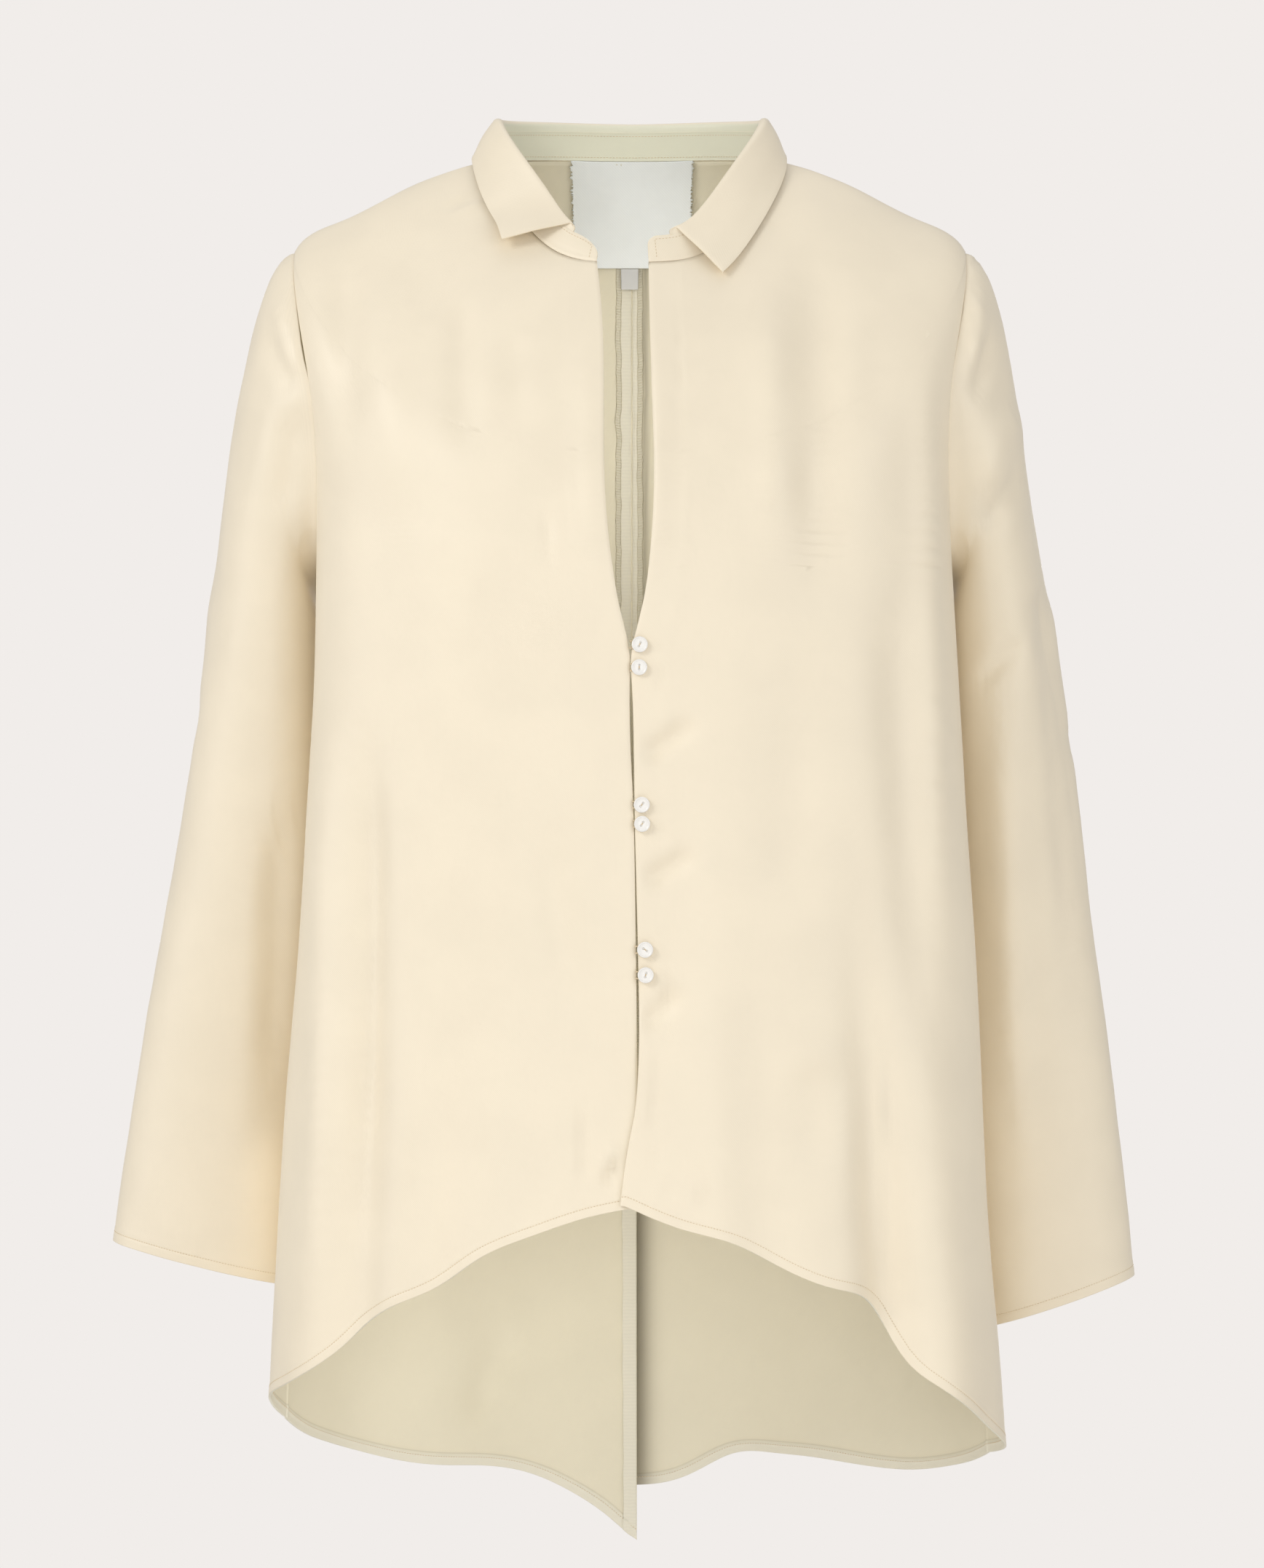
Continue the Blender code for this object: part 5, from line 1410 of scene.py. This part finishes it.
class Paint(Nodes):
    """One material and the patterns that it is mixed from."""

    def __init__(self, name):
        self.material = bpy.data.materials.new(name)
        super().__init__(self.material)

    def named(self, name):
        """One of the distances or shares that the mesh carries."""
        return self.value("ShaderNodeAttribute", {"attribute_name": name}, output="Fac")

    def cloth_uv(self):
        place = self.value("ShaderNodeUVMap", {"uv_map": "cloth"})
        parts = self.node("ShaderNodeSeparateXYZ", {}, {0: place})
        return Value(self, parts.outputs[0]), Value(self, parts.outputs[1])

    def mottle(self, scale, detail=3.0, stretch=(1, 1, 1)):
        """Soft noise from 0 to 1; scale is in patches per metre."""
        where = self.value("ShaderNodeTexCoord", output="Object")
        moved = self.value("ShaderNodeMapping", {}, {"Vector": where, "Scale": stretch})
        sockets = {"Vector": moved, "Scale": scale, "Detail": detail}
        return self.value("ShaderNodeTexNoise", {}, sockets, "Fac")

    def ramp(self, value, low, high, start=0.0, end=1.0):
        """Moves low..high of a value onto start..end, and keeps it there."""
        sockets = {"Value": value, "From Min": low, "From Max": high}
        sockets.update({"To Min": start, "To Max": end})
        return self.value("ShaderNodeMapRange", {"interpolation_type": "SMOOTHSTEP"}, sockets)

    def blend(self, share, first, second):
        """Mixes two colours by a share."""
        sockets = {0: share, 6: first, 7: second}
        return self.value("ShaderNodeMix", {"data_type": "RGBA"}, sockets, 2)

    def bump(self, height, distance, strength):
        sockets = {"Height": height, "Distance": distance, "Strength": strength}
        return self.value("ShaderNodeBump", {}, sockets)

    def cloudy(self, cloud, rgb, spread):
        """A colour that drifts a little lighter and darker with soft noise."""
        share = self.ramp(cloud, 0.3, 0.7)
        return self.blend(share, colour(rgb, 1 - spread), colour(rgb, 1 + spread))

    def finish(self, **sockets):
        """The surface shader, with its sockets by name, underscores standing for spaces."""
        named = {key.replace("_", " "): value for key, value in sockets.items()}
        surface = self.value("ShaderNodeBsdfPrincipled", {}, named)
        self.node("ShaderNodeOutputMaterial", {}, {"Surface": surface})
        return self.material


def diagonal_ribs(paint, spacing, drift=0.0):
    """Ribs from 0 to 1 that run down to the viewer's right, with a drift along them."""
    across, up = paint.cloth_uv()
    return ((across + up) * (2 * math.pi / spacing) + drift).sine() * 0.5 + 0.5


def twill(paint, spacing):
    """The ribs of the weave, a little uneven."""
    return diagonal_ribs(paint, spacing * math.sqrt(2), paint.mottle(160.0, 2.0) * 2.1)


def colour(rgb, scale=1.0):
    return (*(min(1.0, c * scale) for c in rgb), 1.0)


def paint_satin(cloth, name="satin_face", cloud_scale=26.0):
    """The smooth outer face: warm cream, with fine twill ribs and faint cloudy unevenness."""
    paint = Paint(name)
    ribs, cloud = twill(paint, cloth.rib_spacing), paint.mottle(cloud_scale)
    tone = paint.cloudy(cloud, cloth.face, 0.015)
    tone = paint.blend(ribs * 0.10, tone, colour(cloth.face, 0.80))
    if name == "satin_collar":
        tone = paint.blend(paint.named("inner"), tone, colour(cloth.stand_reverse))
        relief = ribs
    else:
        slub = paint.mottle(420.0, 2.0, (1, 1, 0.12))
        tone = paint.blend(paint.ramp(slub, 0.55, 0.8) * 0.12, tone, colour(cloth.face, 0.92))
        seam_shade = paint.ramp(paint.named("seam"), 0.0006, 0.0, 0.0, 0.25)
        tone = paint.blend(seam_shade, tone, colour(cloth.face, 0.55))
        relief = ribs * 0.8 + slub * 0.5
    rough = paint.ramp(cloud, 0.3, 0.7, cloth.gloss - 0.03, cloth.gloss + 0.03)
    return paint.finish(Base_Color=tone, Roughness=rough, Normal=paint.bump(relief, 0.00006, 0.35),
                        Sheen_Weight=0.12, Sheen_Roughness=0.4, Specular_IOR_Level=0.5)


def paint_reverse(cloth, name, turned_rgb):
    """The matt wrong side, a greyer green-beige, paler where the hem is turned up over it."""
    paint = Paint(name)
    ribs = twill(paint, cloth.rib_spacing)
    tone = paint.cloudy(paint.mottle(30.0), cloth.reverse, 0.01)
    tone = paint.blend(ribs * 0.12, tone, colour(cloth.reverse, 0.82))
    hem, middle = paint.named("hem"), HEM_TURN + 0.0006
    tone = paint.blend(paint.ramp(hem, HEM_TURN + 0.0002, HEM_TURN), tone, colour(turned_rgb))
    # painted shade: a darker line on the single cloth just beyond the turned hem's edge
    fold = paint.ramp(hem, HEM_TURN, middle) * paint.ramp(hem, HEM_TURN + 0.0015, middle)
    tone = paint.blend(fold * 0.35, tone, colour(cloth.reverse, 0.6))
    # painted shade on the left back behind the vent's overlap and beside the seam's raw edge
    tone = paint.blend(paint.named("shade"), tone, colour(cloth.shade))
    return paint.finish(Base_Color=tone, Roughness=0.78, Normal=paint.bump(ribs, 0.00008, 0.4),
                        Sheen_Weight=0.10, Specular_IOR_Level=0.2)


def paint_turned(cloth):
    """The face of the cloth where a seam's edge is pressed back, ribbed by its raw threads."""
    paint = Paint("satin_turned")
    up = paint.cloth_uv()[1]
    ribs = (up * (2 * math.pi / 0.0021) + paint.mottle(300.0, 2.0) * 5.0).sine() * 0.5 + 0.5
    near = paint.ramp(paint.named("edge"), 0.0035, 0.0025)
    tone = paint.blend(ribs * 0.25, colour(cloth.hem_reverse), colour(cloth.hem_reverse, 0.86))
    tone = paint.blend(near * 0.45, tone, colour(cloth.reverse, 0.75))
    return paint.finish(Base_Color=tone, Roughness=0.6, Normal=paint.bump(ribs, 0.0001, 0.4),
                        Specular_IOR_Level=0.3)


def paint_thread(name, rgb, roughness):
    """Twisted sewing thread."""
    paint = Paint(name)
    twist = paint.mottle(1400.0, 2.0)
    tone = paint.blend(twist, colour(rgb, 0.88), colour(rgb, 1.08))
    return paint.finish(Base_Color=tone, Roughness=roughness, Specular_IOR_Level=0.35,
                        Normal=paint.bump(twist, 0.0001, 0.4))


def paint_ribbon(name, rgb, spacing):
    """Woven ribbon with a faint diagonal rib."""
    paint = Paint(name)
    ribs, cloud = diagonal_ribs(paint, spacing), paint.mottle(90.0)
    tone = paint.blend(ribs * 0.5, colour(rgb), colour(rgb, 0.93))
    tone = paint.blend(paint.ramp(cloud, 0.35, 0.7) * 0.5, tone, colour(rgb, 0.95))
    return paint.finish(Base_Color=tone, Roughness=0.5, Normal=paint.bump(ribs, 0.00005, 0.4),
                        Specular_IOR_Level=0.3, Sheen_Weight=0.1)


def paint_pearl(trims):
    """Mother-of-pearl: cloudy bands that drift from white to faint pink or green."""
    paint = Paint("pearl_shell")
    bands = paint.mottle(240.0, 4.0, (1, 1, 2.4))
    waves = (bands * 18.0).sine() * 0.45 + 0.45
    tint, white = paint.named("tint"), colour(trims.shell_white)
    tone = paint.blend(paint.ramp(tint, 0.0, 0.5), white, colour(trims.shell_pink))
    tone = paint.blend(paint.ramp(tint, 0.5, 1.0), tone, colour(trims.shell_green))
    tone = paint.blend(waves, tone, colour(trims.shell_white, 0.66))
    # painted shade deep in the holes and round the rim
    tone = paint.blend(paint.named("hole"), tone, colour(trims.shell_hole))
    rough = paint.ramp(bands, 0.3, 0.7, 0.14, 0.3)
    return paint.finish(Base_Color=tone, Roughness=rough, Normal=paint.bump(bands, 0.0001, 0.15),
                        Coat_Weight=0.4, Coat_Roughness=0.08, Specular_IOR_Level=0.6)


def paint_floor(rgb):
    paint = Paint("studio_floor")
    tone = paint.blend(paint.mottle(3.0, 2.0), colour(rgb, 0.99), colour(rgb, 1.01))
    return paint.finish(Base_Color=tone, Roughness=0.85, Specular_IOR_Level=0.2)


def finish_of(name):
    """A finish by name, painted the first time that it is asked for."""
    scene = bpy.context.scene
    cloth, sewing, trims = scene.shirt_cloth, scene.shirt_sewing, scene.shirt_trims
    painters = {
        "satin_face": lambda: paint_satin(cloth),
        "satin_collar": lambda: paint_satin(cloth, name, 30.0),
        "satin_reverse": lambda: paint_reverse(cloth, name, cloth.hem_reverse),
        "stand_reverse": lambda: paint_reverse(cloth, name, cloth.stand_reverse),
        "satin_turned": lambda: paint_turned(cloth),
        "sewing_thread": lambda: paint_thread(name, sewing.thread, 0.45),
        "overlock_thread": lambda: paint_thread(name, sewing.overlock, 0.6),
        "label_ribbon": lambda: paint_ribbon(name, trims.label, 0.0016),
        "tab_ribbon": lambda: paint_ribbon(name, trims.tab, 0.0009),
        "pearl_shell": lambda: paint_pearl(trims),
    }
    return bpy.data.materials.get(name) or painters[name]()


# Settings -----------------------------------------------------------------------------------
def colour_setting(name, description, default):
    return bpy.props.FloatVectorProperty(
        name=name, description=description, default=default, subtype="COLOR", size=3, min=0, max=1
    )


def length_setting(name, description, default):
    return bpy.props.FloatProperty(
        name=name, description=description, default=default, unit="LENGTH", min=0, precision=5
    )


def share_setting(name, description, default):
    return bpy.props.FloatProperty(
        name=name, description=description, default=default, min=0, max=1
    )


def power_setting(name, default):
    return bpy.props.FloatProperty(
        name=name, description="Power of the lamp, in watts", default=default, min=0
    )


class ShirtCloth(bpy.types.PropertyGroup):
    face: colour_setting("Face", "Colour of the satin's outer face", (0.885, 0.790, 0.622))
    reverse: colour_setting("Reverse", "Colour of the cloth's wrong side", (0.85, 0.79, 0.62))
    hem_reverse: colour_setting("Hem inside", "Colour of the turned-up hem", (0.83, 0.79, 0.66))
    stand_reverse: colour_setting("Stand inside", "Colour inside the collar", (0.80, 0.79, 0.635))
    # the colour of the painted shade where cloth lies over cloth
    shade: colour_setting("Deep shade", "Colour where cloth lies over cloth", (0.12, 0.095, 0.05))
    rib_spacing: length_setting("Rib spacing", "Distance between twill ribs", 0.0009)
    gloss: share_setting("Roughness", "Roughness of the outer face", 0.46)


class ShirtSewing(bpy.types.PropertyGroup):
    pitch: length_setting("Stitch pitch", "Distance from stitch to stitch", 0.0017)
    length: length_setting("Stitch length", "Length of one stitch's thread", 0.0012)
    width: length_setting("Thread width", "Width of the sewing thread", 0.00045)
    thread: colour_setting("Thread", "Colour of the sewing thread", (0.72, 0.59, 0.40))
    overlock: colour_setting("Overlock", "Colour of the overlock thread", (0.72, 0.66, 0.50))


class ShirtTrims(bpy.types.PropertyGroup):
    shell_white: colour_setting("Shell", "Main colour of the buttons", (0.56, 0.55, 0.52))
    shell_pink: colour_setting("Shell pink", "Pinkish buttons", (0.68, 0.47, 0.33))
    shell_green: colour_setting("Shell green", "Greenish buttons", (0.27, 0.47, 0.37))
    # the colour of the painted shade deep in the holes and round the rim
    shell_hole: colour_setting("Shell holes", "Colour deep in the holes", (0.05, 0.035, 0.02))
    label: colour_setting("Label", "Colour of the blank neck label", (0.92, 0.95, 0.945))
    tab: colour_setting("Tab", "Colour of the blank tab below it", (0.68, 0.68, 0.67))


class ShirtStage(bpy.types.PropertyGroup):
    floor_height: length_setting("Floor drop", "How far the floor is below the neckline", 1.38)
    floor_radius: length_setting("Floor radius", "Radius of the floor", 2.2)
    floor: colour_setting("Floor", "Colour of the floor", (0.86, 0.83, 0.80))
    backdrop: colour_setting("Background", "Colour behind the shirt", (0.880, 0.847, 0.823))
    room: colour_setting("Room", "Colour of the room's own light", (1, 0.985, 0.965))
    ambient: share_setting("Ambient", "Strength of the room's own light", 0.50)
    key: power_setting("Key light", 13.5)
    fill: power_setting("Fill light", 10.5)
    front: power_setting("Front light", 4.5)
    neck: power_setting("Light inside the neck", 0.070)
    skirt: power_setting("Light inside the hem", 0.065)
    low: power_setting("Low light", 1.5)
    side: power_setting("Side light", 6)
    back: power_setting("Back light", 14)
    top: power_setting("Top light", 3.5)


# The lamps, by the name of their setting: place, the point they face, size and degrees of spread.
Lamp = namedtuple("Lamp", "setting place aim width height spread")
LAMPS = (
    Lamp("key", (-1.9, -2.1, 1.1), (0, 0, -0.35), 1.1, 1.1, 130),
    Lamp("fill", (2.2, -2.2, 0.1), (0, 0, -0.4), 2.0, 2.0, 130),
    Lamp("front", (0, -3.2, -0.2), (0, 0, -0.4), 1.0, 1.0, 130),
    Lamp("neck", (0, -0.03, -0.155), (0, 0.2, -0.155), 0.10, 0.25, 100),
    Lamp("skirt", (-0.09, -0.05, -0.66), (0, 0.25, -0.70), 0.28, 0.18, 110),
    Lamp("low", (0.1, -1.5, -1.2), (0, 0.1, -0.7), 0.9, 0.9, 130),
    Lamp("side", (-2.9, -0.9, 0.1), (0, 0, -0.4), 1.3, 1.3, 130),
    Lamp("back", (0.1, 2.9, -0.45), (0, 0, -0.4), 1.6, 1.6, 130),
    Lamp("top", (0.2, 0.6, 1.9), (0, 0, -0.3), 1.6, 1.6, 130),
)
CAMERA_DISTANCE, CAMERA_HEIGHT = 3.0, -0.358
FRAME_HEIGHT, SENSOR = 0.9155, 36  # metres that the picture shows at the shirt; mm


# Making the pieces --------------------------------------------------------------------------
def flat_size(points):
    """Width, length and area of a grid of cloth."""
    width = run_lengths(points, 1)[:, -1]
    length = run_lengths(points, 0)[-1]
    across = points[:-1, 1:] - points[:-1, :-1]
    up = points[1:, :-1] - points[:-1, :-1]
    area = np.linalg.norm(np.cross(across, up), axis=-1).sum()
    return float(width.max()), float(length.max()), float(area)


def declare_sheet(points):
    width, length, area = flat_size(points)


def sew_rows(name, rows):
    """Rows of ordinary stitches, with the sizes from the settings."""
    sewing = bpy.context.scene.shirt_sewing
    sizes = sewing.pitch, sewing.length, sewing.width
    return add_stitches(f"stitches_{name}", rows, *sizes)


class SHIRT_OT_fronts(bpy.types.Operator):
    """Make the two fronts with their hems and facings"""

    bl_idname = "shirt.fronts"
    bl_label = "Fronts"

    def execute(self, context):
        for half, seed in ((HALVES[RIGHT], 1), (HALVES[LEFT], 2)):
            name = f"front_{half.name}"
            piece, points, out, layers = make_panel(name, half, FRONT_PANEL, seed)
            sewn = sew_rows(name, hem_rows(points, out, layers))
            declare_sheet(points)
        return {"FINISHED"}


class SHIRT_OT_backs(bpy.types.Operator):
    """Make the two backs with their hems, the vent and the centre seam's allowances"""

    bl_idname = "shirt.backs"
    bl_label = "Backs"

    def execute(self, context):
        for half, seed in ((HALVES[RIGHT], 3), (HALVES[LEFT], 4)):
            name = f"back_{half.name}"
            piece, points, out, layers = make_panel(name, half, BACK_PANEL, seed)
            sewn = sew_rows(name, hem_rows(points, out, layers))
            strip, overlock = make_allowance(half, points, out)
            declare_sheet(points)
        return {"FINISHED"}


class SHIRT_OT_sleeves(bpy.types.Operator):
    """Make the two sleeves with their cuff hems"""

    bl_idname = "shirt.sleeves"
    bl_label = "Sleeves"

    def execute(self, context):
        for half, seed in ((HALVES[RIGHT], 5), (HALVES[LEFT], 6)):
            piece, rows, points = make_sleeve(half, seed)
            sewn = sew_rows(f"cuff_{half.name}", rows)
            declare_sheet(points)
        return {"FINISHED"}


class SHIRT_OT_collar(bpy.types.Operator):
    """Make the collar's stand and its turned-down leaf"""

    bl_idname = "shirt.collar"
    bl_label = "Collar"

    def execute(self, context):
        make_stand()
        piece, points = make_leaf()
        declare_sheet(points)
        return {"FINISHED"}


class SHIRT_OT_buttons(bpy.types.Operator):
    """Make the six shell buttons and the thread that holds them"""

    bl_idname = "shirt.buttons"
    bl_label = "Buttons"

    def execute(self, context):
        for number, button in enumerate(BUTTONS, 1):
            make_button(f"button_{number}", button)
        return {"FINISHED"}


class SHIRT_OT_loops(bpy.types.Operator):
    """Make the six thread loops that fasten the front"""

    bl_idname = "shirt.loops"
    bl_label = "Loops"

    def execute(self, context):
        for number, button in enumerate(BUTTONS, 1):
            make_loop(f"loop_{number}", button.height)
        return {"FINISHED"}


class SHIRT_OT_labels(bpy.types.Operator):
    """Make the blank neck label and the small blank tab under it"""

    bl_idname = "shirt.labels"
    bl_label = "Labels"

    def execute(self, context):
        xs = np.linspace(-LABEL_WIDTH / 2, LABEL_WIDTH / 2, 97)
        heights = np.linspace(LABEL_BOTTOM, LABEL_TOP, 121)
        clears = np.linspace(LABEL_CLEAR + LABEL_SWING, LABEL_CLEAR, 121)
        piece, points = make_label("neck_label", xs, heights, clears, "label_ribbon",
                                   0.0005, 0.0022, 71)
        declare_sheet(points)
        xs = TAB_MIDDLE + np.linspace(-TAB_WIDTH / 2, TAB_WIDTH / 2, 17)
        heights = np.linspace(TAB_BOTTOM, LABEL_BOTTOM - SEAM_GAP, 41)
        piece, points = make_label("size_tab", xs, heights, clears[:1].repeat(41), "tab_ribbon",
                                   0.0006, 0.0, 72)
        declare_sheet(points)
        return {"FINISHED"}


class SHIRT_OT_stage(bpy.types.Operator):
    """Make the floor, the studio lights, the background and the camera"""

    bl_idname = "shirt.stage"
    bl_label = "Stage"

    def execute(self, context):
        scene, stage = context.scene, context.scene.shirt_stage
        self.lay_floor(scene, stage)
        for lamp in LAMPS:
            self.hang_lamp(scene, lamp, getattr(stage, lamp.setting))
        self.light_room(scene, stage)
        self.place_camera(scene)
        scene.view_settings.view_transform = "Standard"
        return {"FINISHED"}

    def lay_floor(self, scene, stage):
        bm = bmesh.new()
        low = Matrix.Translation((0, 0, -stage.floor_height))
        bmesh.ops.create_circle(bm, cap_ends=True, segments=96, radius=stage.floor_radius,
                                matrix=low)
        mesh = bpy.data.meshes.new("studio_floor")
        bm.to_mesh(mesh)
        bm.free()
        mesh.materials.append(paint_floor(stage.floor))
        floor = bpy.data.objects.new("studio_floor", mesh)
        scene.collection.objects.link(floor)

    def hang_lamp(self, scene, lamp, power):
        """A soft rectangular lamp that faces a point."""
        name = f"{lamp.setting}_light"
        light = bpy.data.lights.new(name, "AREA")
        light.shape = "RECTANGLE"
        light.size, light.size_y = lamp.width, lamp.height
        light.energy = power
        light.spread = math.radians(lamp.spread)
        made = bpy.data.objects.new(name, light)
        made.location = lamp.place
        facing = Vector(lamp.aim) - Vector(lamp.place)
        made.rotation_euler = facing.to_track_quat("-Z", "Y").to_euler()
        scene.collection.objects.link(made)

    def light_room(self, scene, stage):
        """The camera sees the pale background; the shirt is lit by a softer, dimmer one."""
        world = bpy.data.worlds.new("studio")
        nodes = Nodes(world)
        seen = nodes.value("ShaderNodeBackground", {}, {"Color": colour(stage.backdrop)})
        light = {"Color": colour(stage.room), "Strength": stage.ambient}
        room = nodes.value("ShaderNodeBackground", {}, light)
        to_camera = nodes.value("ShaderNodeLightPath", output="Is Camera Ray")
        mixed = nodes.value("ShaderNodeMixShader", {}, {0: to_camera, 1: room, 2: seen})
        nodes.node("ShaderNodeOutputWorld", {}, {"Surface": mixed})
        scene.world = world

    def place_camera(self, scene):
        lens = bpy.data.cameras.new("photo_camera")
        lens.sensor_fit = "VERTICAL"
        lens.sensor_height = SENSOR
        lens.lens = SENSOR * CAMERA_DISTANCE / FRAME_HEIGHT
        lens.dof.use_dof = False
        camera = bpy.data.objects.new("photo_camera", lens)
        camera.location = (0, -CAMERA_DISTANCE, CAMERA_HEIGHT)
        camera.rotation_euler = (math.pi / 2, 0, 0)
        scene.collection.objects.link(camera)
        scene.camera = camera


class SHIRT_PT_pieces(bpy.types.Panel):
    """Settings and pieces of the shirt"""

    bl_idname = "SHIRT_PT_pieces"
    bl_label = "Shirt"
    bl_space_type = "VIEW_3D"
    bl_region_type = "UI"
    bl_category = "Shirt"

    def draw(self, context):
        for group in SETTINGS:
            box = self.layout.box()
            settings = getattr(context.scene, group)
            for name in settings.__annotations__:
                box.prop(settings, name)
        for operator in OPERATORS:
            self.layout.operator(operator.bl_idname)


SETTINGS = {
    "shirt_cloth": ShirtCloth,
    "shirt_sewing": ShirtSewing,
    "shirt_trims": ShirtTrims,
    "shirt_stage": ShirtStage,
}
OPERATORS = (
    SHIRT_OT_fronts,
    SHIRT_OT_backs,
    SHIRT_OT_sleeves,
    SHIRT_OT_collar,
    SHIRT_OT_buttons,
    SHIRT_OT_loops,
    SHIRT_OT_labels,
    SHIRT_OT_stage,
)


def register():
    for name, group in SETTINGS.items():
        bpy.utils.register_class(group)
        setattr(bpy.types.Scene, name, bpy.props.PointerProperty(type=group))
    for kind in (*OPERATORS, SHIRT_PT_pieces):
        bpy.utils.register_class(kind)


def unregister():
    for kind in (SHIRT_PT_pieces, *reversed(OPERATORS)):
        bpy.utils.unregister_class(kind)
    for name, group in reversed(SETTINGS.items()):
        delattr(bpy.types.Scene, name)
        bpy.utils.unregister_class(group)


def main():
    register()
    for piece in ("fronts", "backs", "sleeves", "collar", "buttons", "loops", "labels", "stage"):
        getattr(bpy.ops.shirt, piece)()


if __name__ == "__main__":
    main()
